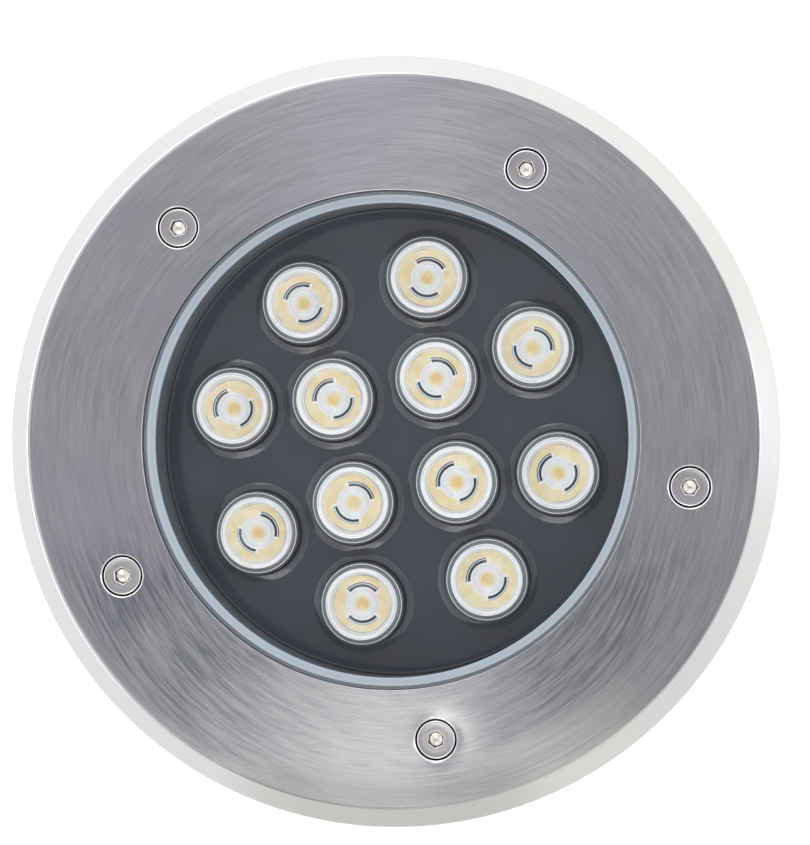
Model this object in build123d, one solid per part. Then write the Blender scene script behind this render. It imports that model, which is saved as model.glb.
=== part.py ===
from build123d import *

import os
from math import hypot

# In-ground well light: a round lamp with a stainless face ring, a thick glass and twelve
# lensed emitters, standing in a plastic ground sleeve that it lifts out of.
# Millimetres, +Z up. The origin is under the sleeve's centre, on the ground it stands on.
# In plan +X is to the right and +Y is up, for someone looking down on the lamp.

# ---- ground sleeve ----
SLEEVE_HEIGHT = 130.0
SLEEVE_WALL = 3.0
SLEEVE_FLOOR = 3.0
COLLAR_OVERHANG = 6.0          # past the sleeve's outside
COLLAR_THICKNESS = 3.0
COLLAR_GAP = 1.5               # round the collar, inside the face ring's skirt
BAND_HEIGHT = 45.0             # upper band, from the rim down to where the ribs start
RIB_COUNT = 16
RIB_WIDTH = 3.0
RIB_DEPTH = 2.5                # how far the wall below the band stands back behind the ribs
CONDUIT_BORE = 20.2            # takes a 20 mm conduit
CONDUIT_WALL = 2.9
CONDUIT_SIDE_HEIGHT = 20.0     # bore centre of the two side entries above the ground
CONDUIT_SIDE_DEPTH = 16.0
CONDUIT_FLOOR_HEIGHT = 12.0    # the floor entry, right under the cable gland
DRAIN_DIAMETER = 12.0
DRAIN_COUNT = 8
DRAIN_INSET = 19.5             # from the lower wall's inside to the drains' centres

# ---- face ring and its screws ----
BEZEL_SHEET = 2.5
BEZEL_HEIGHT = 8.0             # from the face down to the skirt's lower edge
BEVEL_WIDTH = 5.0
BEVEL_DROP = 5.0
CREASE_RADIUS = 1.2
SKIRT_RADIUS = 0.8
OPENING_CHAMFER = 0.4
BEZEL_SCREW_COUNT = 5
BEZEL_SCREW_OFFSET = 3.5       # screw centres outside the glass seat's wall
BEZEL_SCREW_PHASE = 63.0       # degrees from +X of the first screw
BEZEL_SCREW_THREAD = 5.0
BEZEL_SCREW_LENGTH = 14.0
BEZEL_SCREW_HEAD = 9.0
BEZEL_SCREW_RIM = 0.3          # straight edge above the head's cone
BEZEL_SCREW_CLEARANCE = 0.25   # round the thread, in the ring's holes
COUNTERSINK_GAP = 0.45         # round the head, at the face
CONE_CLEARANCE = 0.03
HEX_ACROSS_FLATS = 3.2
HEX_DEPTH = 1.9
HEX_TURNS = (18.0, 40.0, 6.0, 52.0, 27.0)   # how far each screw happens to be turned
THREAD_CLEARANCE = 0.05        # between a thread's outside and the hole it is cut in
TAP_RELIEF = 0.6               # chamfer at the mouth of each tapped hole

# ---- glass and its gasket ----
GLASS_COVER = 3.25             # how far the ring covers the glass edge
GLASS_THICKNESS = 8.0
GLASS_CHAMFER = 0.8
GASKET_WALL = 2.0
GASKET_LIP = 1.5               # thickness of the two lips, above and below the glass
GASKET_SHOWN = 2.5             # width of the upper lip that shows in the ring's opening
GASKET_LOWER_LIP = 4.0         # how far the lower lip reaches in under the glass
GASKET_GRIP = 0.05             # between glass and gasket
GASKET_FIT = 0.15              # between gasket and housing

# ---- housing ----
LAMP_HEIGHT = 90.0             # from the face ring's top to the housing's underside
FLANGE_GAP = 2.0               # from the flange to where the ring's underside bends down
FLANGE_THICKNESS = 5.0
FLANGE_CHAMFER = 0.8
TUB_WALL = 3.3
GLASS_LEDGE = 7.1
TUB_FOOT = 8.0                 # how far below the flange the thick glass seat reaches
TUB_TAPER = 6.0
PLATE_LEDGE = 0.8
SPREADER_LEDGE = 6.5
LEDGE_ROOT = 4.0               # metal under the spreader's ledge
LEDGE_TAPER = 8.0
BOWL_WALL = 4.0
BOWL_FLOOR = 4.0
BOWL_DRAFT = 3.0
BOWL_EDGE_RADIUS = 3.0
BOSS_DIAMETER = 10.0
BOSS_HEIGHT = 12.0
BOSS_HOLE_DEPTH = 14.0
BOSS_GAP = 2.0                 # from the screw bosses to the sleeve's inside
FIN_COUNT = 24
FIN_THICKNESS = 2.2
FIN_GAP = 5.0                  # from the fins to the sleeve's inside
FIN_TAPER = 8.0                # how far the fins draw in from top to foot
FIN_TOP_DROP = 14.0            # from the flange's underside down to the fins
FIN_FOOT_RISE = 3.0            # from the housing's underside up to the fins
POST_DIAMETER = 8.0
POST_HOLE_DEPTH = 8.0

# ---- lens plate, lenses and holders ----
LENS_GAP = 1.2                 # glass to lens fronts
LENS_HEIGHT = 10.5
LENS_FACE = 17.0
LENS_RIM = 0.9                 # width of the raised rim round the front
LENS_RIM_HEIGHT = 0.3
LENS_NECK = 1.5                # from the front down to the flange
LENS_FLANGE_WIDTH = 1.1
LENS_FLANGE_THICKNESS = 1.0
LENS_WELL = 7.6
LENS_WELL_DEPTH = 2.5
LENS_WELL_DOME = 0.9
LENS_FOOT = 7.4
LENS_BULGE = 1.3               # how far the flank bows out
LENS_POCKET = 6.2
LENS_POCKET_DEPTH = 4.5
LENS_POCKET_DOME = 0.3
OUTER_LENS_COUNT = 8
OUTER_LENS_CIRCLE = 79.2       # the size that the lamp's whole width grows from
OUTER_LENS_PHASE = 33.75
INNER_LENS_COUNT = 4
INNER_LENS_CIRCLE = 35.6
INNER_LENS_PHASE = 56.25
HOLDER_WALL = 0.35             # round the lens flange
HOLDER_LEDGE = 0.6             # how far the seat reaches in under the lens flange
HOLDER_FIT = 0.05              # between the lens flange and the holder
PLATE_DROP = 6.5               # lens fronts above the plate
PLATE_THICKNESS = 1.5
PLATE_FIT = 0.3
WINDOW_CLEARANCE = 0.75        # round each holder, in the plate
WINDOW_CHAMFER = 0.3

# ---- emitters, board, spreader ----
EMITTER_DIAMETER = 8.0
EMITTER_BASE = 1.0
EMITTER_DOME = 5.2
EMITTER_TAB_LENGTH = 2.2
EMITTER_TAB_WIDTH = 3.0
EMITTER_TAB_THICKNESS = 0.4
EMITTER_TURNS = (40.0, 77.0, 120.0, 158.0, 35.0, 90.0, 140.0, 158.0, 58.0, 138.0, 59.0, 146.0)
LENS_STANDOFF = 1.3            # board to lens foot
BOARD_EDGE = 0.3               # board past the holders
BOARD_THICKNESS = 1.6
PAD_THICKNESS = 0.5
PAD_MARGIN = 0.5
SPREADER_THICKNESS = 4.0
SPREADER_FIT = 0.3
SMALL_SCREW_THREAD = 3.0
SMALL_SCREW_CLEARANCE = 0.2
SMALL_SCREW_HEAD = 5.0
SMALL_SCREW_HEAD_HEIGHT = 1.8
SMALL_SCREW_DOME = 0.7
SMALL_SCREW_SLOT = 0.8
SMALL_SCREW_SLOT_LENGTH = 3.0
SMALL_SCREW_SLOT_DEPTH = 0.9
BOARD_SCREW_COUNT = 4
BOARD_SCREW_INSET = 3.4        # from the board's edge
BOARD_SCREW_PHASE = 56.25
BOARD_SCREW_SHORT = 0.6        # how far the tip stops inside the spreader
SPREADER_SCREW_COUNT = 4
SPREADER_SCREW_GAP = 0.25      # from the screw heads to the board's edge
SPREADER_EDGE = 2.35           # from the screw centres to the spreader's edge
SPREADER_SCREW_PHASE = 11.25
SPREADER_SCREW_BITE = 6.0

# ---- driver and its leads ----
DRIVER_LENGTH = 66.0
DRIVER_WIDTH = 40.0
DRIVER_HEIGHT = 26.0
DRIVER_WALL = 1.8
DRIVER_EDGE_RADIUS = 1.5
DRIVER_RISE = 14.5             # case underside above the housing's underside
DRIVER_SCREW_REACH = 4.0       # from the case's ends to the screw centres
DRIVER_SCREW_BITE = 7.0
EAR_WIDTH = 12.0
EAR_THICKNESS = 2.5
EAR_MARGIN = 4.5               # past the screw's centre
CIRCUIT_THICKNESS = 1.6
CIRCUIT_FIT = 0.2
TRANSFORMER_LENGTH = 20.0
TRANSFORMER_WIDTH = 18.0
TRANSFORMER_HEIGHT = 16.0
TRANSFORMER_INSET = 18.0       # from one end of the case to its middle
TRANSFORMER_CORE = 6.0
TRANSFORMER_CORE_PROUD = 2.0
CAPACITOR_DIAMETER = 10.0
CAPACITOR_HEIGHT = 18.0
CAPACITOR_INSET = 13.0         # from the other end of the case to its middle
LEAD_DIAMETER = 1.4
LEAD_SPACING = 3.2
LEAD_REACH = 8.0               # from the centre to where each lead meets the board
LEAD_RISE = 2.1
LEAD_BEND = 2.0
LEAD_DIRECTION = 11.25
LEAD_HOLE = 6.4

# ---- cable gland ----
GLAND_PLACE = -24.0            # its axis, along Y from the lamp's centre
GLAND_THREAD = 16.0
GLAND_STUB = 10.0
GLAND_HOLE_CLEARANCE = 0.1
GLAND_BOSS_DIAMETER = 28.0
GLAND_BOSS_HEIGHT = 2.0
GLAND_HEX = 22.0
GLAND_HEX_THICKNESS = 5.0
GLAND_BORE = 11.2
GLAND_NECK_DIAMETER = 16.4
GLAND_NECK = 8.0
WASHER_DIAMETER = 21.4
WASHER_THICKNESS = 1.5
LOCKNUT_THICKNESS = 4.0
SEAL_DIAMETER = 11.0
SEAL_BORE = 6.6
SEAL_HEIGHT = 10.0
CAP_DIAMETER = 21.0
CAP_HEIGHT = 14.0
CAP_FIT = 0.15
CAP_GRIP = 8.0                 # how much of the neck the cap covers
CAP_EXIT = 9.4
CAP_DOME = 4.0
CAP_GRIP_COUNT = 12
CAP_GRIP_DEPTH = 0.8

# ---- levels, from the ground up ----
rim_z = SLEEVE_HEIGHT
flange_top = rim_z + FLANGE_THICKNESS
face_z = flange_top + BEZEL_SHEET
glass_top = flange_top - GASKET_LIP
glass_bottom = glass_top - GLASS_THICKNESS
ledge_z = glass_bottom - GASKET_LIP
lens_top = glass_bottom - LENS_GAP
lens_bottom = lens_top - LENS_HEIGHT
lens_flange_top = lens_top - LENS_NECK
lens_flange_bottom = lens_flange_top - LENS_FLANGE_THICKNESS
plate_top = lens_top - PLATE_DROP
plate_bottom = plate_top - PLATE_THICKNESS
board_top = lens_bottom - LENS_STANDOFF
board_bottom = board_top - BOARD_THICKNESS
spreader_top = board_bottom - PAD_THICKNESS
spreader_bottom = spreader_top - SPREADER_THICKNESS
housing_bottom = face_z - LAMP_HEIGHT
chamber_floor = housing_bottom + BOWL_FLOOR
driver_bottom = housing_bottom + DRIVER_RISE
driver_top = driver_bottom + DRIVER_HEIGHT
circuit_top = driver_bottom + CIRCUIT_THICKNESS

# ---- radii, from the lenses outward: each piece is as wide as what it holds and a clearance ----
lens_face_r = LENS_FACE / 2
lens_flange_r = lens_face_r + LENS_FLANGE_WIDTH
holder_seat_r = lens_flange_r + HOLDER_FIT
holder_r = holder_seat_r + HOLDER_WALL
inner_lens_r = INNER_LENS_CIRCLE / 2
outer_lens_r = OUTER_LENS_CIRCLE / 2
board_r = outer_lens_r + holder_r + BOARD_EDGE
board_screw_r = board_r - BOARD_SCREW_INSET
spreader_screw_r = board_r + SMALL_SCREW_HEAD / 2 + SPREADER_SCREW_GAP
spreader_r = spreader_screw_r + SPREADER_EDGE
board_chamber_r = spreader_r + SPREADER_FIT
driver_chamber_r = board_chamber_r - SPREADER_LEDGE
bowl_floor_r = driver_chamber_r - BOWL_DRAFT
chamber_r = board_chamber_r + PLATE_LEDGE
recess_r = chamber_r + GLASS_LEDGE
gasket_r = recess_r - GASKET_FIT
gasket_groove_r = gasket_r - GASKET_WALL
glass_r = gasket_groove_r - GASKET_GRIP
opening_r = glass_r - GLASS_COVER
gasket_mouth_r = opening_r - GASKET_SHOWN
tub_r = recess_r + TUB_WALL
bezel_screw_r = tub_r + BEZEL_SCREW_OFFSET
sleeve_inner_r = bezel_screw_r + BOSS_DIAMETER / 2 + BOSS_GAP
fin_top_r = sleeve_inner_r - FIN_GAP
fin_foot_r = fin_top_r - FIN_TAPER
sleeve_r = sleeve_inner_r + SLEEVE_WALL
lower_wall_r = sleeve_r - RIB_DEPTH
drain_circle_r = lower_wall_r - SLEEVE_WALL - DRAIN_INSET
collar_r = sleeve_r + COLLAR_OVERHANG
skirt_inner_r = collar_r + COLLAR_GAP
bezel_r = skirt_inner_r + BEZEL_SHEET
crease_r = bezel_r - BEVEL_WIDTH

# ---- screws, holes and spacings ----
bezel_hole_r = BEZEL_SCREW_THREAD / 2 + BEZEL_SCREW_CLEARANCE
countersink_r = BEZEL_SCREW_HEAD / 2 + COUNTERSINK_GAP
small_tap_r = SMALL_SCREW_THREAD / 2 + THREAD_CLEARANCE
small_hole_r = SMALL_SCREW_THREAD / 2 + SMALL_SCREW_CLEARANCE
driver_screw_spacing = DRIVER_LENGTH + 2 * DRIVER_SCREW_REACH
conduit_r = CONDUIT_BORE / 2 + CONDUIT_WALL


def turned(*points):
    """A solid of revolution about Z from an outline of (radius, height) points."""
    outline = make_face(Polyline(*points, close=True))
    return revolve(Plane.XZ * outline, Axis.Z)


def ring(outer_r, inner_r, bottom, top):
    """A plain ring between two heights."""
    return turned((inner_r, bottom), (outer_r, bottom), (outer_r, top), (inner_r, top))


def disc(radius, bottom, top):
    """A plain disc between two heights."""
    return Pos(0, 0, (bottom + top) / 2) * Cylinder(radius, top - bottom)


def prism(across_flats, bottom, top):
    """A hexagonal prism between two heights."""
    hexagon = RegularPolygon(across_flats / 2, 6, major_radius=False)
    return Pos(0, 0, bottom) * extrude(hexagon, top - bottom)


def on_circle(radius, count, phase=0.0):
    """Points spread evenly on a circle, each turned with it."""
    return PolarLocations(radius, count, start_angle=phase)


def repeated(shape, places):
    """The same shape at every place, as separate solids."""
    return [place * shape for place in places]


def inner_bends():
    """Where the ring's underside bends from flat to bevel and from bevel to skirt.

    The underside of the bevel is its top moved in by the sheet, square to the slope.
    """
    slope = hypot(BEVEL_WIDTH, BEVEL_DROP)
    inset_r = crease_r - BEZEL_SHEET * BEVEL_DROP / slope
    inset_z = face_z - BEZEL_SHEET * BEVEL_WIDTH / slope
    share_at_flat = (inset_z - flange_top) / BEVEL_DROP
    share_at_skirt = (skirt_inner_r - inset_r) / BEVEL_WIDTH
    return [
        (inset_r + BEVEL_WIDTH * share, inset_z - BEVEL_DROP * share)
        for share in (share_at_skirt, share_at_flat)
    ]


def bezel_screw_places():
    return on_circle(bezel_screw_r, BEZEL_SCREW_COUNT, BEZEL_SCREW_PHASE)


def board_screw_places():
    return on_circle(board_screw_r, BOARD_SCREW_COUNT, BOARD_SCREW_PHASE)


def spreader_screw_places():
    return on_circle(spreader_screw_r, SPREADER_SCREW_COUNT, SPREADER_SCREW_PHASE)


def driver_screw_places():
    return GridLocations(driver_screw_spacing, 0, 2, 1)


def lens_places():
    outer = on_circle(outer_lens_r, OUTER_LENS_COUNT, OUTER_LENS_PHASE)
    inner = on_circle(inner_lens_r, INNER_LENS_COUNT, INNER_LENS_PHASE)
    return [Pos(*place.position) for place in list(outer) + list(inner)]


def bezel_ring():
    """Pressed stainless ring: flat face, bevelled band, short skirt, countersunk holes."""
    skirt_z = face_z - BEZEL_HEIGHT
    outline = make_face(Polyline(
        (opening_r, flange_top),
        (opening_r, face_z),
        (crease_r, face_z),
        (bezel_r, face_z - BEVEL_DROP),
        (bezel_r, skirt_z),
        (skirt_inner_r, skirt_z),
        *inner_bends(),
        close=True,
    ))
    corners = outline.vertices()
    outline = fillet(corners.sort_by_distance((crease_r, face_z))[0], CREASE_RADIUS)
    corners = outline.vertices()
    outline = fillet(corners.sort_by_distance((bezel_r, face_z - BEVEL_DROP))[0], SKIRT_RADIUS)
    corners = outline.vertices()
    outline = chamfer(corners.sort_by_distance((opening_r, face_z))[0], OPENING_CHAMFER)
    body = revolve(Plane.XZ * outline, Axis.Z)
    cutter = turned(
        (0, face_z),
        (countersink_r, face_z),
        (bezel_hole_r, face_z - (countersink_r - bezel_hole_r)),
        (bezel_hole_r, flange_top - BEZEL_SHEET),
        (0, flange_top - BEZEL_SHEET),
    )
    for hole in repeated(cutter, bezel_screw_places()):
        body -= hole
    return body


def bezel_screws():
    """Countersunk screws with hexagon sockets, each turned as it was left."""
    head_r = BEZEL_SCREW_HEAD / 2
    thread_r = BEZEL_SCREW_THREAD / 2
    rim_bottom = face_z - COUNTERSINK_GAP + CONE_CLEARANCE
    top = rim_bottom + BEZEL_SCREW_RIM
    tip = top - BEZEL_SCREW_LENGTH
    screw = turned(
        (0, tip),
        (thread_r - TAP_RELIEF, tip),
        (thread_r, tip + TAP_RELIEF),
        (thread_r, rim_bottom - (head_r - thread_r)),
        (head_r, rim_bottom),
        (head_r, top),
        (0, top),
    )
    socket = prism(HEX_ACROSS_FLATS, top - HEX_DEPTH, top)
    point_r = HEX_ACROSS_FLATS / 2
    point = turned((0, top - HEX_DEPTH - point_r / 2), (point_r, top - HEX_DEPTH), (0, top - HEX_DEPTH))
    screw = screw - socket - point
    places = zip(bezel_screw_places(), HEX_TURNS)
    return [place * Rot(0, 0, turn) * screw for place, turn in places]


def front_glass():
    """Thick tempered disc with ground edges."""
    return turned(
        (0, glass_bottom),
        (glass_r - GLASS_CHAMFER, glass_bottom),
        (glass_r, glass_bottom + GLASS_CHAMFER),
        (glass_r, glass_top - GLASS_CHAMFER),
        (glass_r - GLASS_CHAMFER, glass_top),
        (0, glass_top),
    )


def glass_gasket():
    """Silicone ring of U section round the glass edge; its upper lip shows in the opening."""
    lower_lip_r = gasket_groove_r - GASKET_LOWER_LIP
    return turned(
        (lower_lip_r, ledge_z),
        (gasket_r, ledge_z),
        (gasket_r, flange_top),
        (gasket_mouth_r, flange_top),
        (gasket_mouth_r, glass_top),
        (gasket_groove_r, glass_top),
        (gasket_groove_r, glass_bottom),
        (lower_lip_r, glass_bottom),
    )


def housing():
    """Die-cast bowl: flange, glass seat, stepped chambers, fins, screw bosses, gland boss."""
    flange_r = inner_bends()[-1][0] - FLANGE_GAP
    shoulder_z = spreader_bottom - LEDGE_ROOT
    outside = turned(
        (0, housing_bottom),
        (bowl_floor_r + BOWL_WALL - BOWL_EDGE_RADIUS, housing_bottom),
        (bowl_floor_r + BOWL_WALL, housing_bottom + BOWL_EDGE_RADIUS),
        (driver_chamber_r + BOWL_WALL, shoulder_z - LEDGE_TAPER),
        (chamber_r + BOWL_WALL, shoulder_z),
        (chamber_r + BOWL_WALL, rim_z - TUB_FOOT - TUB_TAPER),
        (tub_r, rim_z - TUB_FOOT),
        (tub_r, rim_z),
        (flange_r - FLANGE_CHAMFER, rim_z),
        (flange_r, rim_z + FLANGE_CHAMFER),
        (flange_r, flange_top),
        (0, flange_top),
    )
    fin_top = rim_z - FIN_TOP_DROP
    fin_foot = housing_bottom + FIN_FOOT_RISE
    fin_side = make_face(Polyline(
        (bowl_floor_r, fin_foot),
        (fin_foot_r, fin_foot),
        (fin_top_r, fin_top),
        (chamber_r, fin_top),
        close=True,
    ))
    fin = extrude(Plane.XZ * fin_side, FIN_THICKNESS / 2, both=True)
    for turn in range(FIN_COUNT):
        outside += Rot(0, 0, turn * 360 / FIN_COUNT) * fin
    boss = disc(BOSS_DIAMETER / 2, rim_z - BOSS_HEIGHT, rim_z)
    for item in repeated(boss, bezel_screw_places()):
        outside += item

    inside = turned(
        (0, chamber_floor),
        (bowl_floor_r, chamber_floor),
        (driver_chamber_r, spreader_bottom),
        (board_chamber_r, spreader_bottom),
        (board_chamber_r, plate_bottom),
        (chamber_r, plate_bottom),
        (chamber_r, ledge_z),
        (recess_r, ledge_z),
        (recess_r, flange_top),
        (0, flange_top),
    )
    body = outside - inside

    post = disc(POST_DIAMETER / 2, housing_bottom + BOWL_FLOOR / 2, driver_bottom)
    for item in repeated(post, driver_screw_places()):
        body += item
    gland_boss = disc(GLAND_BOSS_DIAMETER / 2, housing_bottom, chamber_floor + GLAND_BOSS_HEIGHT)
    body += Pos(0, GLAND_PLACE, 0) * gland_boss

    tap_r = BEZEL_SCREW_THREAD / 2 + THREAD_CLEARANCE
    tap = turned(
        (0, flange_top - BOSS_HOLE_DEPTH),
        (tap_r, flange_top - BOSS_HOLE_DEPTH),
        (tap_r, flange_top - TAP_RELIEF),
        (tap_r + TAP_RELIEF, flange_top),
        (0, flange_top),
    )
    cuts = repeated(tap, bezel_screw_places())
    spreader_tap = disc(small_tap_r, spreader_bottom - SPREADER_SCREW_BITE - TAP_RELIEF, spreader_bottom)
    cuts += repeated(spreader_tap, spreader_screw_places())
    post_tap = disc(small_tap_r, driver_bottom - POST_HOLE_DEPTH, driver_bottom)
    cuts += repeated(post_tap, driver_screw_places())
    gland_hole = disc(
        GLAND_THREAD / 2 + GLAND_HOLE_CLEARANCE, housing_bottom, chamber_floor + GLAND_BOSS_HEIGHT
    )
    cuts.append(Pos(0, GLAND_PLACE, 0) * gland_hole)
    for cut in cuts:
        body -= cut
    return body


def lens_plate():
    """Glossy black plate with a window round each lens."""
    radius = chamber_r - PLATE_FIT
    window_r = holder_r + WINDOW_CLEARANCE
    body = disc(radius, plate_bottom, plate_top)
    window = turned(
        (0, plate_bottom),
        (window_r, plate_bottom),
        (window_r, plate_top - WINDOW_CHAMFER),
        (window_r + WINDOW_CHAMFER, plate_top),
        (0, plate_top),
    )
    for item in repeated(window, lens_places()):
        body -= item
    return body


def lens():
    """Moulded collimator: rimmed front with a domed well, flange, bowed flank, foot pocket."""
    field_r = lens_face_r - LENS_RIM
    field_z = lens_top - LENS_RIM_HEIGHT
    well_r = LENS_WELL / 2
    well_z = field_z - LENS_WELL_DEPTH
    foot_r = LENS_FOOT / 2
    pocket_r = LENS_POCKET / 2
    pocket_z = lens_bottom + LENS_POCKET_DEPTH
    flank_middle = (
        (lens_face_r + foot_r) / 2 + LENS_BULGE,
        (lens_flange_bottom + lens_bottom) / 2,
    )
    outline = Polyline(
        (0, well_z + LENS_WELL_DOME),
        (well_r, well_z),
        (well_r, field_z),
        (field_r, field_z),
        (field_r, lens_top),
        (lens_face_r, lens_top),
        (lens_face_r, lens_flange_top),
        (lens_flange_r, lens_flange_top),
        (lens_flange_r, lens_flange_bottom),
        (lens_face_r, lens_flange_bottom),
    )
    flank = ThreePointArc((lens_face_r, lens_flange_bottom), flank_middle, (foot_r, lens_bottom))
    foot = Polyline(
        (foot_r, lens_bottom),
        (pocket_r, lens_bottom),
        (pocket_r, pocket_z),
        (0, pocket_z + LENS_POCKET_DOME),
        (0, well_z + LENS_WELL_DOME),
    )
    return revolve(Plane.XZ * make_face(outline + flank + foot), Axis.Z)


def lens_holder():
    """Thin collar that stands on the board and carries the lens by its flange."""
    bore_r = lens_flange_r - HOLDER_LEDGE
    return turned(
        (bore_r, board_top),
        (holder_r, board_top),
        (holder_r, lens_flange_top),
        (holder_seat_r, lens_flange_top),
        (holder_seat_r, lens_flange_bottom),
        (bore_r, lens_flange_bottom),
    )


def emitter():
    """White emitter body with a clear dome and two solder tabs."""
    base_r = EMITTER_DIAMETER / 2
    dome_r = EMITTER_DOME / 2
    base_top = board_top + EMITTER_BASE
    body = disc(base_r, board_top, base_top)
    dome = Pos(0, 0, base_top) * Sphere(dome_r) - disc(dome_r, base_top - dome_r, base_top)
    tab_reach = base_r + EMITTER_TAB_LENGTH
    tabs = Box(2 * tab_reach, EMITTER_TAB_WIDTH, EMITTER_TAB_THICKNESS)
    return body + dome + Pos(0, 0, board_top + EMITTER_TAB_THICKNESS / 2) * tabs


def drilled_disc(radius, bottom, top, screws, screw_r):
    """A disc with the leads' hole in its centre and one hole for each screw."""
    body = disc(radius, bottom, top) - disc(LEAD_HOLE / 2, bottom, top)
    for hole in repeated(disc(screw_r, bottom, top), screws):
        body -= hole
    return body


def led_board():
    """Round aluminium circuit board."""
    return drilled_disc(board_r, board_bottom, board_top, board_screw_places(), small_hole_r)


def thermal_pad():
    """Soft pad that carries the board's heat into the spreader."""
    radius = board_r - PAD_MARGIN
    return drilled_disc(radius, spreader_top, board_bottom, board_screw_places(), small_hole_r)


def heat_spreader():
    """Aluminium disc across the bowl, under the board."""
    body = drilled_disc(spreader_r, spreader_bottom, spreader_top, board_screw_places(), small_tap_r)
    for hole in repeated(disc(small_hole_r, spreader_bottom, spreader_top), spreader_screw_places()):
        body -= hole
    return body


def pan_screw(seat_z, length):
    """A small pan-head screw with a cross recess, its head seated at seat_z."""
    head_r = SMALL_SCREW_HEAD / 2
    thread_r = SMALL_SCREW_THREAD / 2
    top = seat_z + SMALL_SCREW_HEAD_HEIGHT
    screw = turned(
        (0, seat_z - length),
        (thread_r, seat_z - length),
        (thread_r, seat_z),
        (head_r, seat_z),
        (head_r, top - SMALL_SCREW_DOME),
        (head_r - SMALL_SCREW_DOME, top),
        (0, top),
    )
    slot = Box(SMALL_SCREW_SLOT_LENGTH, SMALL_SCREW_SLOT, SMALL_SCREW_SLOT_DEPTH)
    cross = slot + Rot(0, 0, 90) * slot
    return screw - Pos(0, 0, top - SMALL_SCREW_SLOT_DEPTH / 2) * cross


def board_screws():
    length = BOARD_THICKNESS + PAD_THICKNESS + SPREADER_THICKNESS - BOARD_SCREW_SHORT
    return repeated(pan_screw(board_top, length), board_screw_places())


def spreader_screws():
    length = SPREADER_THICKNESS + SPREADER_SCREW_BITE
    return repeated(pan_screw(spreader_top, length), spreader_screw_places())


def driver_case():
    """Plastic cover over the driver, open below, with an ear at each end."""
    middle_z = (driver_bottom + driver_top) / 2
    shell = Pos(0, 0, middle_z) * Box(DRIVER_LENGTH, DRIVER_WIDTH, DRIVER_HEIGHT)
    shell = fillet(shell.edges().filter_by(Axis.Z), DRIVER_EDGE_RADIUS)
    shell = fillet(shell.faces().sort_by(Axis.Z)[-1].edges(), DRIVER_EDGE_RADIUS)
    ear_end = driver_screw_spacing / 2 + EAR_MARGIN
    ears = Pos(0, 0, driver_bottom + EAR_THICKNESS / 2) * Box(2 * ear_end, EAR_WIDTH, EAR_THICKNESS)
    body = shell + ears
    cavity_height = DRIVER_HEIGHT - DRIVER_WALL
    cavity = Box(DRIVER_LENGTH - 2 * DRIVER_WALL, DRIVER_WIDTH - 2 * DRIVER_WALL, cavity_height)
    body -= Pos(0, 0, driver_bottom + cavity_height / 2) * cavity
    body -= disc(LEAD_HOLE / 2, driver_top - 2 * DRIVER_WALL, driver_top)
    for hole in repeated(disc(small_hole_r, driver_bottom, driver_bottom + EAR_THICKNESS),
                         driver_screw_places()):
        body -= hole
    return body


def driver_board():
    """Circuit board that closes the cover from below."""
    length = DRIVER_LENGTH - 2 * DRIVER_WALL - 2 * CIRCUIT_FIT
    width = DRIVER_WIDTH - 2 * DRIVER_WALL - 2 * CIRCUIT_FIT
    return Pos(0, 0, driver_bottom + CIRCUIT_THICKNESS / 2) * Box(length, width, CIRCUIT_THICKNESS)


def driver_transformer():
    """Wound block with a flat core standing proud of it."""
    middle_z = circuit_top + TRANSFORMER_HEIGHT / 2
    core_length = TRANSFORMER_LENGTH - 2 * TRANSFORMER_CORE_PROUD
    core_width = TRANSFORMER_WIDTH - 2 * TRANSFORMER_CORE_PROUD
    winding = Box(core_length, TRANSFORMER_WIDTH, TRANSFORMER_HEIGHT)
    core = Box(TRANSFORMER_LENGTH, core_width, TRANSFORMER_CORE)
    return Pos(TRANSFORMER_INSET - DRIVER_LENGTH / 2, 0, middle_z) * (winding + core)


def driver_capacitor():
    """Can capacitor standing on the driver's board."""
    can = disc(CAPACITOR_DIAMETER / 2, circuit_top, circuit_top + CAPACITOR_HEIGHT)
    return Pos(DRIVER_LENGTH / 2 - CAPACITOR_INSET, 0, 0) * can


def driver_screws():
    seat_z = driver_bottom + EAR_THICKNESS
    return repeated(pan_screw(seat_z, EAR_THICKNESS + DRIVER_SCREW_BITE), driver_screw_places())


def led_leads():
    """Two wires from the driver's board up through the spreader, bent down onto the LED board."""
    crest_z = board_top + LEAD_RISE
    half_space = LEAD_SPACING / 2
    route = FilletPolyline(
        (half_space, 0, circuit_top),
        (half_space, 0, crest_z),
        (LEAD_REACH, 0, crest_z),
        (LEAD_REACH, 0, board_top),
        radius=LEAD_BEND,
    )
    wire = sweep(Pos(half_space, 0, circuit_top) * Circle(LEAD_DIAMETER / 2), path=route)
    return [Rot(0, 0, LEAD_DIRECTION + turn) * wire for turn in (0, 180)]


def at_gland(shape):
    return Pos(0, GLAND_PLACE, 0) * shape


gland_seat = housing_bottom - WASHER_THICKNESS
gland_neck_top = gland_seat - GLAND_HEX_THICKNESS
gland_neck_bottom = gland_neck_top - GLAND_NECK
cap_top = gland_neck_bottom + CAP_GRIP - CAP_FIT
cap_bottom = cap_top - CAP_HEIGHT


def gland_washer():
    """Rubber washer between the gland and the housing's underside."""
    return at_gland(ring(
        WASHER_DIAMETER / 2, GLAND_THREAD / 2 + GLAND_HOLE_CLEARANCE, gland_seat, housing_bottom
    ))


def gland_body():
    """Threaded stub into the housing, hexagon, and the neck that the cap screws onto."""
    stub = disc(GLAND_THREAD / 2, gland_seat, housing_bottom + GLAND_STUB)
    neck = disc(GLAND_NECK_DIAMETER / 2, gland_neck_bottom, gland_neck_top)
    body = stub + prism(GLAND_HEX, gland_neck_top, gland_seat) + neck
    bore = disc(GLAND_BORE / 2, gland_neck_bottom, housing_bottom + GLAND_STUB)
    return at_gland(body - bore)


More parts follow.
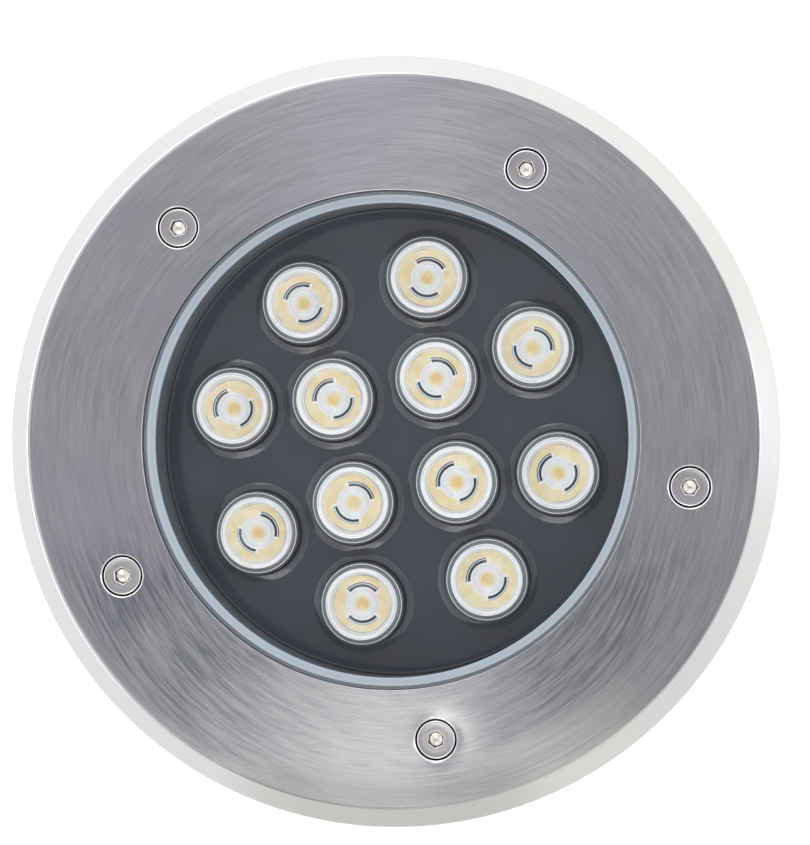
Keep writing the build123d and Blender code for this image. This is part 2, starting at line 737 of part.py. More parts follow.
def gland_locknut():
    """Hexagon nut on the stub, inside the bowl."""
    seat_z = chamber_floor + GLAND_BOSS_HEIGHT
    nut = prism(GLAND_HEX, seat_z, seat_z + LOCKNUT_THICKNESS)
    hole = disc(GLAND_THREAD / 2 + THREAD_CLEARANCE, seat_z, seat_z + LOCKNUT_THICKNESS)
    return at_gland(nut - hole)


def gland_seal():
    """Rubber sleeve that the cap squeezes onto the cable."""
    seal_bottom = cap_bottom + CAP_DOME
    return at_gland(ring(SEAL_DIAMETER / 2, SEAL_BORE / 2, seal_bottom, seal_bottom + SEAL_HEIGHT))


def gland_cap():
    """Domed cap nut with grip flutes and the cable's exit hole."""
    outer_r = CAP_DIAMETER / 2
    exit_r = CAP_EXIT / 2
    inner_r = GLAND_NECK_DIAMETER / 2 + CAP_FIT
    cavity_bottom = cap_bottom + CAP_DOME
    body = turned(
        (exit_r, cap_bottom),
        (outer_r - CAP_DOME, cap_bottom),
        (outer_r, cavity_bottom),
        (outer_r, cap_top),
        (inner_r, cap_top),
        (inner_r, cavity_bottom),
        (exit_r, cavity_bottom),
    )
    flute = disc(CAP_GRIP_DEPTH, cap_bottom, cap_top)
    for groove in repeated(flute, on_circle(outer_r, CAP_GRIP_COUNT)):
        body -= groove
    return at_gland(body)


def sleeve():
    """Moulded ground sleeve: collar, plain band, ribbed lower wall, drained floor, entries."""
    band_z = rim_z - BAND_HEIGHT
    wall = turned(
        (0, 0),
        (lower_wall_r, 0),
        (lower_wall_r, band_z - RIB_DEPTH),
        (sleeve_r, band_z),
        (sleeve_r, rim_z - COLLAR_THICKNESS),
        (collar_r, rim_z - COLLAR_THICKNESS),
        (collar_r, rim_z),
        (0, rim_z),
    )
    rib_inner = lower_wall_r - SLEEVE_WALL / 2
    rib = Pos((rib_inner + sleeve_r) / 2, 0, band_z / 2) * Box(sleeve_r - rib_inner, RIB_WIDTH, band_z)
    for turn in range(RIB_COUNT):
        wall += Rot(0, 0, (turn + 0.5) * 360 / RIB_COUNT) * rib
    hollow = turned(
        (0, SLEEVE_FLOOR),
        (lower_wall_r - SLEEVE_WALL, SLEEVE_FLOOR),
        (lower_wall_r - SLEEVE_WALL, band_z - RIB_DEPTH),
        (sleeve_inner_r, band_z),
        (sleeve_inner_r, rim_z),
        (0, rim_z),
    )
    body = wall - hollow

    side_middle = sleeve_r - CONDUIT_SIDE_DEPTH / 2
    entry = Rot(0, 90, 0) * Cylinder(conduit_r, CONDUIT_SIDE_DEPTH)
    bore = Rot(0, 90, 0) * Cylinder(CONDUIT_BORE / 2, CONDUIT_SIDE_DEPTH)
    envelope = disc(sleeve_r, 0, band_z)
    for side in (1, -1):
        place = Pos(side * side_middle, 0, CONDUIT_SIDE_HEIGHT)
        body += (place * entry) & envelope
        body -= place * bore
    body += at_gland(disc(conduit_r, 0, CONDUIT_FLOOR_HEIGHT))
    body -= at_gland(disc(CONDUIT_BORE / 2, 0, CONDUIT_FLOOR_HEIGHT))
    drain = disc(DRAIN_DIAMETER / 2, 0, SLEEVE_FLOOR)
    body -= drain
    for hole in repeated(drain, on_circle(drain_circle_r, DRAIN_COUNT)):
        body -= hole
    return body


def write(name, shape):
    """One STEP file for one node; a list of solids becomes one compound."""
    whole = Compound(children=shape) if isinstance(shape, list) else shape
    export_step(whole, f"parts/{name}.step")


def main():
    os.makedirs("parts", exist_ok=True)
    single = {
        "sleeve": sleeve(),
        "housing": housing(),
        "bezel_ring": bezel_ring(),
        "bezel_screws": bezel_screws(),
        "front_glass": front_glass(),
        "glass_gasket": glass_gasket(),
        "lens_plate": lens_plate(),
        "led_board": led_board(),
        "thermal_pad": thermal_pad(),
        "board_screws": board_screws(),
        "heat_spreader": heat_spreader(),
        "spreader_screws": spreader_screws(),
        "driver_case": driver_case(),
        "driver_board": driver_board(),
        "driver_transformer": driver_transformer(),
        "driver_capacitor": driver_capacitor(),
        "driver_screws": driver_screws(),
        "led_leads": led_leads(),
        "gland_body": gland_body(),
        "gland_washer": gland_washer(),
        "gland_locknut": gland_locknut(),
        "gland_seal": gland_seal(),
        "gland_cap": gland_cap(),
    }
    for name, shape in single.items():
        write(name, shape)
    one_lens, one_holder, one_emitter = lens(), lens_holder(), emitter()
    for number, (place, turn) in enumerate(zip(lens_places(), EMITTER_TURNS), start=1):
        write(f"lens_{number:02d}", place * one_lens)
        write(f"lens_holder_{number:02d}", place * one_holder)
        write(f"led_{number:02d}", place * Rot(0, 0, turn) * one_emitter)


main()
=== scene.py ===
import math

import bpy
import numpy as np
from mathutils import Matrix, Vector


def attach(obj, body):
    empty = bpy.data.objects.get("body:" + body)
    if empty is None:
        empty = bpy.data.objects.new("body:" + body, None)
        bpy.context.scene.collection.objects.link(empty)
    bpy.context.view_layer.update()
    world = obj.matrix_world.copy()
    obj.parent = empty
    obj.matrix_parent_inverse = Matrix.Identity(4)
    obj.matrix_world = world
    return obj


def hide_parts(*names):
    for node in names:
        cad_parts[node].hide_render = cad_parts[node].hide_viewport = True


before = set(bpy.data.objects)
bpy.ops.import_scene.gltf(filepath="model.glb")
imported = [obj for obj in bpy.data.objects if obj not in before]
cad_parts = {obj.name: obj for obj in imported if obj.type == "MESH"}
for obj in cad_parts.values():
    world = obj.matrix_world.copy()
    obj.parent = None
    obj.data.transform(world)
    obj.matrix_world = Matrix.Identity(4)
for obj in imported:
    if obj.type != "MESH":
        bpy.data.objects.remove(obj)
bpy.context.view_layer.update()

mm = 0.001
fullTurn = 2 * math.pi
print("frame loaded:", len(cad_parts), "nodes")


# An outline of (radius, height, fillet) corners in mm becomes points in metres.
# A corner's arc starts and ends fillet * tan(half its turn) away from it, and its points are evenly
# turned about the arc's centre. A hold point just outside each end keeps the flats beside it flat.
def roundedOutline(corners, closed=True, arcSteps=5, hold=0.12):
    corners = np.array(corners, float)
    points = []
    last = len(corners) - 1
    for index, (radius, height, fillet) in enumerate(corners):
        corner = np.array([radius, height])
        if fillet == 0 or (not closed and index in (0, last)):
            points.append(corner)
            continue
        into = corner - corners[index - 1, :2]
        out = corners[(index + 1) % len(corners), :2] - corner
        intoRun, outRun = np.hypot(*into), np.hypot(*out)
        into, out = into / intoRun, out / outRun
        side = np.sign(into[0] * out[1] - into[1] * out[0])
        turn = math.acos(np.clip(into @ out, -1, 1))
        reach = fillet * math.tan(turn / 2)
        middle = corner - into * reach + side * fillet * np.array([-into[1], into[0]])
        start = corner - into * reach - middle
        angles = side * np.linspace(0, turn, arcSteps + 1)
        arc = np.stack([
            start[0] * np.cos(angles) - start[1] * np.sin(angles),
            start[0] * np.sin(angles) + start[1] * np.cos(angles),
        ], axis=1) + middle
        if reach + hold < intoRun / 2:
            points.append(corner - into * (reach + hold))
        points.extend(arc)
        if reach + hold < outRun / 2:
            points.append(corner + out * (reach + hold))
    return np.array(points) * mm


# Extra points on every run of an outline that is longer than step (mm) and passes the test.
def subdivided(outline, step, wanted):
    points = []
    for index, point in enumerate(outline):
        following = outline[(index + 1) % len(outline)]
        points.append(point)
        run = np.hypot(*(following - point))
        if run > step * mm and wanted(point) and wanted(following):
            count = int(math.ceil(run / (step * mm)))
            shares = np.arange(1, count)[:, None] / count
            points.extend(point + (following - point) * shares)
    return np.array(points)


# A surface of revolution: x = r cos a, y = r sin a, z = height, for each outline point and each angle.
def turnedGrid(outline, columns, centre=(0.0, 0.0)):
    angles = np.arange(columns) * fullTurn / columns
    radius, height = outline[:, :1], outline[:, 1:]
    return np.stack([
        radius * np.cos(angles) + centre[0],
        radius * np.sin(angles) + centre[1],
        height + 0 * angles,
    ], axis=2)


# Builds one mesh from grids of points (rows, columns, 3). Columns close on themselves; rows close
# when loop is true; a row whose points all coincide is a pole. Each part may carry point attributes.
def surface(name, parts, materials, sharpAngle=38):
    points, faces, uvs, slots, extras = [], [], [], [], {}
    offset = 0
    for part in parts:
        grid = part["grid"]
        rows, columns = grid.shape[:2]
        pole = np.ptp(grid, axis=1).max(axis=1) < 1e-9
        count = np.where(pole, 1, columns)
        start = np.concatenate([[0], np.cumsum(count)[:-1]])
        index = start[:, None] + np.where(pole[:, None], 0, np.arange(columns)[None, :])
        keep = ~pole[:, None] | (np.arange(columns)[None, :] == 0)
        points.append(grid[keep])
        for key, values in part.get("attributes", {}).items():
            extras.setdefault(key, []).append(np.asarray(values)[keep])
        loop = part.get("loop", False)
        last = rows if loop else rows - 1
        lower, upper = index[:last], np.roll(index, -1, axis=0)[:last]
        across = np.arange(columns) / columns
        length = np.concatenate([[0], np.cumsum(np.linalg.norm(np.diff(grid[:, 0], axis=0), axis=1))])
        length = length / max(length[-1], 1e-9)
        lowV = np.broadcast_to(length[:last, None], lower.shape)
        highV = np.broadcast_to(np.append(length[1:], 1.0)[:last, None], lower.shape)
        leftU = np.broadcast_to(across[None, :], lower.shape)
        rightU = leftU + 1 / columns
        corners = np.stack([lower, np.roll(lower, -1, axis=1), np.roll(upper, -1, axis=1), upper], axis=2)
        cornerUv = np.stack([
            np.stack([leftU, lowV], axis=2), np.stack([rightU, lowV], axis=2),
            np.stack([rightU, highV], axis=2), np.stack([leftU, highV], axis=2),
        ], axis=2)
        lowPole = np.broadcast_to(pole[:last, None], lower.shape)
        highPole = np.broadcast_to(np.roll(pole, -1)[:last, None], lower.shape)
        rowSlot = np.broadcast_to(np.asarray(part.get("slots", [0] * last))[:, None], lower.shape)
        for mask, chosen in (
            (~lowPole & ~highPole, [0, 1, 2, 3]), (lowPole & ~highPole, [0, 2, 3]),
            (~lowPole & highPole, [0, 1, 2]),
        ):
            faces.extend((corners[mask][:, chosen] + offset).tolist())
            uvs.append(cornerUv[mask][:, chosen].reshape(-1, 2))
            slots.append(rowSlot[mask])
        offset += int(keep.sum())
    mesh = bpy.data.meshes.new(name)
    mesh.from_pydata(np.concatenate(points).tolist(), [], faces)
    layer = mesh.uv_layers.new(name="UVMap")
    layer.data.foreach_set("uv", np.concatenate(uvs).astype(np.float32).ravel())
    mesh.polygons.foreach_set("material_index", np.concatenate(slots).astype(np.int32))
    for key, values in extras.items():
        values = np.concatenate(values).astype(np.float32)
        kind = "FLOAT_VECTOR" if values.ndim == 2 else "FLOAT"
        field = "vector" if values.ndim == 2 else "value"
        mesh.attributes.new(key, kind, "POINT").data.foreach_set(field, values.ravel())
    for material in materials:
        mesh.materials.append(material)
    shadeByAngle(mesh, sharpAngle)
    piece = bpy.data.objects.new(name, mesh)
    bpy.context.scene.collection.objects.link(piece)
    return piece


# Smooth faces, with edges that turn by more than sharpAngle degrees kept sharp.
def shadeByAngle(mesh, sharpAngle):
    mesh.polygons.foreach_set("use_smooth", np.ones(len(mesh.polygons), bool))
    mesh.set_sharp_from_angle(angle=math.radians(sharpAngle))
    mesh.update()


# The piece's mesh becomes what its modifiers make of it.
def applyModifiers(piece):
    bpy.context.view_layer.update()
    graph = bpy.context.evaluated_depsgraph_get()
    finished = bpy.data.meshes.new_from_object(piece.evaluated_get(graph), depsgraph=graph)
    piece.modifiers.clear()
    piece.data = finished


# Takes the cutter out of the piece. Large flat faces then keep their own normal beside small round ones.
def cutAway(piece, cutter, sharpAngle):
    cut = piece.modifiers.new("cut", "BOOLEAN")
    cut.operation = "DIFFERENCE"
    cut.solver = "EXACT"
    cut.object = cutter
    applyModifiers(piece)
    shadeByAngle(piece.data, sharpAngle)
    bpy.data.objects.remove(cutter)
    even = piece.modifiers.new("evenNormals", "WEIGHTED_NORMAL")
    even.keep_sharp = True
    even.weight = 100
    applyModifiers(piece)


# A grid turned about the Z axis: x cos - y sin, x sin + y cos.
def spun(grid, degrees):
    cosine, sine = math.cos(math.radians(degrees)), math.sin(math.radians(degrees))
    x, y = grid[..., 0], grid[..., 1]
    return np.stack([x * cosine - y * sine, x * sine + y * cosine, grid[..., 2]], axis=2)


# Puts a finished piece on its body and hides the CAD nodes it stands for. Its slot is not used.
def install(piece, body, slot, *nodes):
    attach(piece, body)
    if nodes:
        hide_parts(*nodes)
    return piece


# Places on a circle, evenly apart from the phase in degrees: (r cos a, r sin a).
def onCircle(radius, count, phase):
    angles = np.radians(phase + np.arange(count) * 360 / count)
    return np.stack([radius * np.cos(angles), radius * np.sin(angles)], axis=1) * mm


def newMaterial(name):
    material = bpy.data.materials.new(name)
    material.use_nodes = True
    return material


def setShader(material, **values):
    sockets = {
        "metallic": "Metallic", "roughness": "Roughness", "ior": "IOR", "specular": "Specular IOR Level",
        "coat": "Coat Weight", "coatRoughness": "Coat Roughness", "anisotropy": "Anisotropic",
        "anisotropyTurn": "Anisotropic Rotation", "subsurface": "Subsurface Weight",
        "subsurfaceScale": "Subsurface Scale", "glow": "Emission Strength",
    }
    shader = material.node_tree.nodes["Principled BSDF"]
    for key, value in values.items():
        shader.inputs[sockets[key]].default_value = value


# Adds a shader node; links maps each input's name or number to a value or another node's output.
def addNode(material, kind, links=None, **settings):
    node = material.node_tree.nodes.new(kind)
    for key, value in settings.items():
        setattr(node, key, value)
    for socket, value in (links or {}).items():
        if isinstance(value, bpy.types.NodeSocket):
            material.node_tree.links.new(value, node.inputs[socket])
        else:
            node.inputs[socket].default_value = value
    return node


def calc(material, operation, first, second=0.0, third=0.0):
    node = addNode(material, "ShaderNodeMath", {0: first, 1: second, 2: third}, operation=operation)
    return node.outputs[0]


def vectorCalc(material, operation, first, second=(0.0, 0.0, 0.0)):
    node = addNode(material, "ShaderNodeVectorMath", {0: first, 1: second}, operation=operation)
    return node.outputs["Value" if operation == "LENGTH" else "Vector"]


# The values multiplied with each other.
def product(material, first, *others):
    for other in others:
        first = calc(material, "MULTIPLY", first, other)
    return first


# 0 below low, 1 above high, smooth between.
def stepUp(material, value, low, high):
    node = addNode(material, "ShaderNodeMapRange", {"Value": value, "From Min": low, "From Max": high},
                   interpolation_type="SMOOTHSTEP")
    return node.outputs["Result"]


# 1 below low, 0 above high, smooth between.
def stepDown(material, value, low, high):
    return stepUp(material, value, high, low)


# 1 inside a band from low to high, with soft edges.
def bandMask(material, value, low, high, soft):
    rise = stepUp(material, value, low - soft, low + soft)
    fall = stepUp(material, value, high - soft, high + soft)
    return calc(material, "SUBTRACT", rise, fall)


def mixColor(material, share, first, second):
    node = addNode(material, "ShaderNodeMix", {0: share}, data_type="RGBA")
    for socket, value in ((6, first), (7, second)):
        if isinstance(value, bpy.types.NodeSocket):
            material.node_tree.links.new(value, node.inputs[socket])
        else:
            node.inputs[socket].default_value = (*value, 1.0)
    return node.outputs[2]


# Lays another colour over one, as far as the product of the shares says.
def paintOver(material, color, other, *shares):
    return mixColor(material, product(material, *shares), color, other)


def objectPlace(material):
    return addNode(material, "ShaderNodeTexCoord").outputs["Object"]


def attributePlace(material, name):
    return addNode(material, "ShaderNodeAttribute", attribute_name=name).outputs["Vector"]


# A place's x, y and z and its distance from the Z axis, in mm.
def measured(material, place):
    scaled = vectorCalc(material, "MULTIPLY", place, (1 / mm, 1 / mm, 1 / mm))
    flat = vectorCalc(material, "MULTIPLY", scaled, (1.0, 1.0, 0.0))
    x, y, z = addNode(material, "ShaderNodeSeparateXYZ", {0: scaled}).outputs
    return x, y, z, vectorCalc(material, "LENGTH", flat)


def noise(material, place, scale, detail=2.0, roughness=0.5, distortion=0.0):
    node = addNode(material, "ShaderNodeTexNoise", {
        "Vector": place, "Scale": scale, "Detail": detail, "Roughness": roughness,
        "Distortion": distortion,
    })
    return node.outputs[0]


# A value spread from low to high, for a factor between 0 and 1.
def spread(material, factor, low, high):
    node = addNode(material, "ShaderNodeMapRange", {"Value": factor, "To Min": low, "To Max": high})
    return node.outputs["Result"]


def link(material, output, socket):
    material.node_tree.links.new(output, material.node_tree.nodes["Principled BSDF"].inputs[socket])


def bump(material, height, strength, distance):
    values = {"Height": height, "Strength": strength, "Distance": distance}
    link(material, addNode(material, "ShaderNodeBump", values).outputs[0], "Normal")


# Noise that is long round circles about the Z axis and narrow across them, with no seam: it is read at
# (along * cos, along * sin, across * r). A wave (mm, count, phase) adds mm * sin(count * angle + phase)
# to r, which leans the pattern to and fro across the circles.
def ringNoise(material, place, along, across, wave=None, detail=2.0, roughness=0.5):
    flat = vectorCalc(material, "MULTIPLY", place, (1.0, 1.0, 0.0))
    radius = vectorCalc(material, "LENGTH", flat)
    if wave:
        swing, count, phase = wave
        x, y, _ = addNode(material, "ShaderNodeSeparateXYZ", {0: flat}).outputs
        turn = calc(material, "MULTIPLY_ADD", calc(material, "ARCTAN2", y, x), float(count), phase)
        radius = calc(material, "MULTIPLY_ADD", calc(material, "SINE", turn), swing * mm, radius)
    around = vectorCalc(material, "MULTIPLY", vectorCalc(material, "NORMALIZE", flat), (along, along, 0.0))
    up = addNode(material, "ShaderNodeCombineXYZ", {"Z": product(material, radius, across)}).outputs[0]
    return noise(material, vectorCalc(material, "ADD", around, up), 1.0, detail, roughness)


# heights in mm over the ground that the sleeve stands on
levels = dict(
    face=137.5, flangeTop=135.0, glassTop=133.5, glassBottom=125.5, ledge=124.0,
    lensTop=124.3, lensFoot=113.8, plateTop=117.8, plateBottom=116.3, boardTop=112.5,
)
# circles about the lamp's axis: radius in mm, and the first place's angle in degrees from the right
screwCircle = dict(radius=70.0, count=5, phase=63.0)
outerLenses = dict(radius=39.6, count=8, phase=33.75)
innerLenses = dict(radius=17.8, count=4, phase=56.25)
# how far each emitter is turned, in degrees
emitterTurns = (40, 77, 120, 158, 35, 90, 140, 158, 58, 138, 59, 146)
screwPlaces = onCircle(**screwCircle)
lensPlaces = np.concatenate([onCircle(**outerLenses), onCircle(**innerLenses)])


steel = dict(
    dark=(0.455, 0.457, 0.485), light=(0.578, 0.577, 0.612), roughness=0.27, anisotropy=0.80,
    # the brush's patterns round the ring
    lines=dict(along=3.0, across=2600, detail=3.0, roughness=0.6),
    grain=dict(along=10.0, across=5400, roughness=0.6), grainShare=0.45,
    hatch=dict(along=8.0, across=1300, wave=(5.0, 3, 0.9), detail=3.0, roughness=0.6),
    hatchShare=0.30, hatchColor=(0.34, 0.355, 0.385),
    sweep=dict(along=3.4, across=230, wave=(12.0, 3, 2.6)), sweepShare=0.22, sweepColor=(0.68, 0.68, 0.70),
    # streaks painted dark and bright in the quarters beside the front: painted reflection
    streak=dict(along=5.0, across=1250, wave=(4.5, 2, 1.2), detail=4.0, roughness=0.62),
    streakShare=0.70, streakColor=(0.18, 0.20, 0.25), streakHighlight=(0.64, 0.66, 0.70), streakHighlightShare=0.5,
    lilacScale=22, lilacShare=0.50, lilacColor=(0.50, 0.475, 0.57),
    # where they lie: across the ring in mm, and round it by sin of the angle, -1 at the front
    streakReach=(57.6, 82.5), streakSpan=(-0.90, -0.38), lilacFade=(-0.98, -0.70),
    # a paler patch right of the front screw: a painted highlight, which clears the painted streaks there
    sheenFrom=(71.0, 79.0), sheenClearsStreaks=0.85,
    sheenSpan=(-0.94, -0.74), sheenShare=0.55, sheenColor=(0.84, 0.82, 0.79),
    # painted shade at the front towards the crease
    frontSpan=(-0.98, -0.88), frontShadeFrom=(75.0, 84.8), frontShadeShare=0.50, frontShadeColor=(0.20, 0.19, 0.185),
    # the worked edges, with painted highlights, reflection and shade
    chamferPolishAndHighlight=(0.84, 0.84, 0.86), holeShade=(0.012, 0.012, 0.013),
    cutEdge=(57.80, 57.87), cutEdgeShadeShare=0.85, cutEdgeShade=(0.06, 0.065, 0.075),
    bevelReflectionShare=0.80, bevelReflection=(0.76, 0.755, 0.742), bevelFrontShadeShare=0.30, bevelFrontShade=(0.36, 0.35, 0.33),
    creaseHighlight=(0.96, 0.96, 0.97),
)


# Leaning hatch marks, broad sweeps, and a lilac cast that fades towards the front.
def handledSteel(material, color, place, back):
    hatch = stepUp(material, ringNoise(material, place, **steel["hatch"]), 0.42, 0.70)
    color = paintOver(material, color, steel["hatchColor"], hatch, steel["hatchShare"])
    sweep = stepUp(material, ringNoise(material, place, **steel["sweep"]), 0.35, 0.65)
    color = paintOver(material, color, steel["sweepColor"], sweep, steel["sweepShare"])
    lilac = stepUp(material, noise(material, place, steel["lilacScale"], 3.0, 0.55), 0.42, 0.62)
    fading = stepUp(material, back, *steel["lilacFade"])
    return paintOver(material, color, steel["lilacColor"], lilac, fading, steel["lilacShare"])


# Streaks painted dark and bright in the two quarters beside the front: painted reflection. To the right of
# the front screw they give way towards the crease to a paler patch, a painted highlight. At the front the
# steel is painted darker towards the crease: painted shade.
def steelPaintedLight(material, color, place, right, back, radius):
    streak = ringNoise(material, place, **steel["streak"])
    outer = stepUp(material, radius, *steel["sheenFrom"])
    sheenPatch = product(material, stepUp(material, right, 0.15, 0.45), outer)
    zone = product(material, bandMask(material, back, *steel["streakSpan"], 0.16),
                   bandMask(material, radius, *steel["streakReach"], 1.8))
    zone = calc(material, "MULTIPLY_ADD", product(material, zone, sheenPatch), -steel["sheenClearsStreaks"], zone)
    # painted reflection: dark streaks, then bright ones, in the zone beside the front
    shaded = stepDown(material, streak, 0.36, 0.60)
    color = paintOver(material, color, steel["streakColor"], shaded, steel["streakShare"], zone)
    shining = stepUp(material, streak, 0.60, 0.72)
    color = paintOver(material, color, steel["streakHighlight"], shining, steel["streakHighlightShare"], zone)
    # painted highlight: a paler patch right of the front screw towards the crease
    pale = bandMask(material, back, *steel["sheenSpan"], 0.09)
    color = paintOver(material, color, steel["sheenColor"], sheenPatch, pale, steel["sheenShare"])
    # painted shade: darker at the front towards the crease
    front = stepDown(material, back, *steel["frontSpan"])
    outwards = stepUp(material, radius, *steel["frontShadeFrom"])
    return paintOver(material, color, steel["frontShadeColor"], front, outwards, steel["frontShadeShare"])


# Distance from the nearest screw's axis in mm: the angle round the ring is folded into one pitch of the
# screw circle, so every screw lies at (circle radius, 0), and distance = root(along^2 + aside^2).
def fromNearestScrew(material, x, y, radius):
    pitch = fullTurn / screwCircle["count"]
    start = math.radians(screwCircle["phase"]) - pitch / 2
    shifted = calc(material, "SUBTRACT", calc(material, "ARCTAN2", y, x), start)
    folded = calc(material, "SUBTRACT", calc(material, "FLOORED_MODULO", shifted, pitch), pitch / 2)
    along = product(material, radius, calc(material, "COSINE", folded))
    along = calc(material, "SUBTRACT", along, screwCircle["radius"])
    aside = product(material, radius, calc(material, "SINE", folded))
    squares = calc(material, "MULTIPLY_ADD", along, along, product(material, aside, aside))
    return calc(material, "SQRT", squares)


# The screw holes' chamfers are polished and painted lighter still as a highlight, their walls are painted
# dark as shade, and so is the cut edge of the opening. The bevel is painted brighter than the face as a
# reflection, with painted shade at the front, and the crease has a painted highlight at the left and the
# back.
def edgedSteel(material, color, x, y, right, back, radius):
    mouth, crease = bezel["mouth"], bezel["crease"]
    fromScrew = fromNearestScrew(material, x, y, radius)
    chamfer = bandMask(material, fromScrew, mouth, mouth + bezel["chamferWidth"], 0.03)
    # polished chamfers, painted lighter still as a highlight
    color = paintOver(material, color, steel["chamferPolishAndHighlight"], chamfer)
    inHole = stepDown(material, fromScrew, mouth - 0.03, mouth + 0.01)
    # painted shade on the holes' walls
    color = paintOver(material, color, steel["holeShade"], inHole)
    cut = stepDown(material, radius, *steel["cutEdge"])
    # painted shade on the opening's cut edge
    color = paintOver(material, color, steel["cutEdgeShade"], cut, steel["cutEdgeShadeShare"])
    bevel = stepUp(material, radius, crease - 0.1, crease + 0.4)
    front = stepDown(material, back, *steel["frontSpan"])
    # painted reflection: the bevel brighter than the face
    color = paintOver(material, color, steel["bevelReflection"], bevel, steel["bevelReflectionShare"])
    # painted shade on the bevel at the front
    color = paintOver(material, color, steel["bevelFrontShade"], bevel, front, steel["bevelFrontShadeShare"])
    # painted highlight on the crease, at the left and the back
    line = bandMask(material, radius, crease - 0.62, crease + 0.25, 0.10)
    toLeft = stepDown(material, right, -0.50, 0.30)
    toBack = stepUp(material, back, -0.90, -0.60)
    return paintOver(material, color, steel["creaseHighlight"], line, toLeft, toBack)


# Circular brush lines with a finer grain over them, then painted reflection streaks, highlight and shade,
# and the worked edges' painted highlights and shade.
def brushedSteel():
    material = newMaterial("brushedSteel")
    place = objectPlace(material)
    x, y, _, radius = measured(material, place)
    right = calc(material, "DIVIDE", x, radius)
    back = calc(material, "DIVIDE", y, radius)
    lines = ringNoise(material, place, **steel["lines"])
    grain = ringNoise(material, place, **steel["grain"])
    together = calc(material, "MULTIPLY_ADD", grain, steel["grainShare"],
                    product(material, lines, 1 - steel["grainShare"]))
    color = mixColor(material, stepUp(material, together, 0.34, 0.66), steel["dark"], steel["light"])
    color = handledSteel(material, color, place, back)
    color = steelPaintedLight(material, color, place, right, back, radius)
    color = edgedSteel(material, color, x, y, right, back, radius)
    link(material, color, "Base Color")
    uneven = spread(material, lines, steel["roughness"] - 0.06, steel["roughness"] + 0.08)
    link(material, uneven, "Roughness")
    # the grooves run along the tangent, so the gloss spreads a quarter turn from it
    setShader(material, metallic=1.0, anisotropy=steel["anisotropy"], anisotropyTurn=0.25)
    tangent = addNode(material, "ShaderNodeTangent", direction_type="UV_MAP", uv_map="UVMap")
    link(material, tangent.outputs[0], "Tangent")
    bump(material, together, 0.06, 0.00005)
    return material


bezel = dict(
    outer=90.0, crease=85.0, opening=57.75, skirtInner=87.5, skirtFoot=129.5, bevelFoot=132.5,
    innerFlat=(83.96, 135.0), innerBevel=(87.5, 131.46), creaseFillet=1.1, edgeFillet=0.7,
    openingFillet=0.35, rollWidth=4.0, rollDrop=0.07, columns=540, faceStep=0.75,
    mouth=4.82, chamferWidth=0.28, chamferDepth=0.16, bore=2.75, holeColumns=96,
    dimples=(0.02, 0.03, 0.02, 0.50, 0.02), dimpleWidth=1.7, dimpleTurn=24.0,
)


# The ring is turned from its outline. Its face sinks a little towards the crease and round each screw.
def makeBezel(material):
    face = levels["face"]
    outline = roundedOutline([
        (bezel["opening"], levels["flangeTop"], 0.2),
        (*bezel["innerFlat"], 0.6),
        (*bezel["innerBevel"], 0.4),
        (bezel["skirtInner"], bezel["skirtFoot"], 0.25),
        (bezel["outer"], bezel["skirtFoot"], 0.35),
        (bezel["outer"], bezel["bevelFoot"], bezel["edgeFillet"]),
        (bezel["crease"], face, bezel["creaseFillet"]),
        (bezel["opening"], face, bezel["openingFillet"]),
    ])
    outline = subdivided(outline, bezel["faceStep"], lambda point: point[1] > (face - 0.01) * mm)
    grid = turnedGrid(outline, bezel["columns"])
    top = grid[..., 2] > (face - 0.05) * mm
    radius = np.hypot(grid[..., 0], grid[..., 1])
    # the press rolls the face off towards the crease: drop = rollDrop * share squared
    share = np.clip((radius / mm - (bezel["crease"] - bezel["rollWidth"])) / bezel["rollWidth"], 0, 1)
    drop = bezel["rollDrop"] * share ** 2
    # each countersink drew the sheet down round it, deepest towards dimpleTurn:
    # drop = depth * (1 + cos of the angle from there) / 2 * exp(-distance past the mouth / width)
    for place, depth in zip(screwPlaces, bezel["dimples"]):
        aside, ahead = grid[..., 0] - place[0], grid[..., 1] - place[1]
        past = np.clip(np.hypot(aside, ahead) / mm - bezel["mouth"], 0, None)
        towards = (1 + np.cos(np.arctan2(ahead, aside) - math.radians(bezel["dimpleTurn"]))) / 2
        drop = drop + depth * towards * np.exp(-past / bezel["dimpleWidth"])
    grid[..., 2] -= drop * mm * top
    piece = surface("bezelRing", [dict(grid=grid, loop=True)], [material])
    wide, deep, mouth, bore = bezel["chamferWidth"], bezel["chamferDepth"], bezel["mouth"], bezel["bore"]
    cutterOutline = np.array([
        (0, levels["flangeTop"] - 1), (bore, levels["flangeTop"] - 1),
        (bore, face - deep - (mouth - bore)), (mouth, face - deep),
        (mouth + wide, face), (mouth + 2 * wide, face + deep), (mouth + 2 * wide, face + 1), (0, face + 1),
    ]) * mm
    cutters = [
        dict(grid=turnedGrid(cutterOutline - (0, depth / 2 * mm), bezel["holeColumns"], place))
        for place, depth in zip(screwPlaces, bezel["dimples"])
    ]
    cutAway(piece, surface("bezelCutter", cutters, [material]), sharpAngle=25)
    return install(piece, "lamp", "brushed_stainless", "bezel_ring")


screw = dict(
    head=4.34, thread=2.5, top=137.36, rim=0.34, tip=123.4, edge=0.13, edgeWidth=0.24, dish=0.05,
    hexFlats=3.4, hexDepth=1.1, point=0.7, lip=0.16, columns=144, turns=(18, 40, 6, 52, 27),
    dark=(0.46, 0.455, 0.48), light=(0.63, 0.625, 0.65), headEdgeHighlight=(0.86, 0.86, 0.87),
    # the socket walls' colour is painted shade; the head's edge and the socket's lip colours are painted
    # highlights
    floorColor=(0.86, 0.82, 0.76), wallColor=(0.13, 0.12, 0.11), socketLipHighlight=(0.86, 0.85, 0.84),
    edgeFrom=(4.06, 4.12), socketReach=(2.05, 2.10), wallFrom=(1.38, 1.52),
)
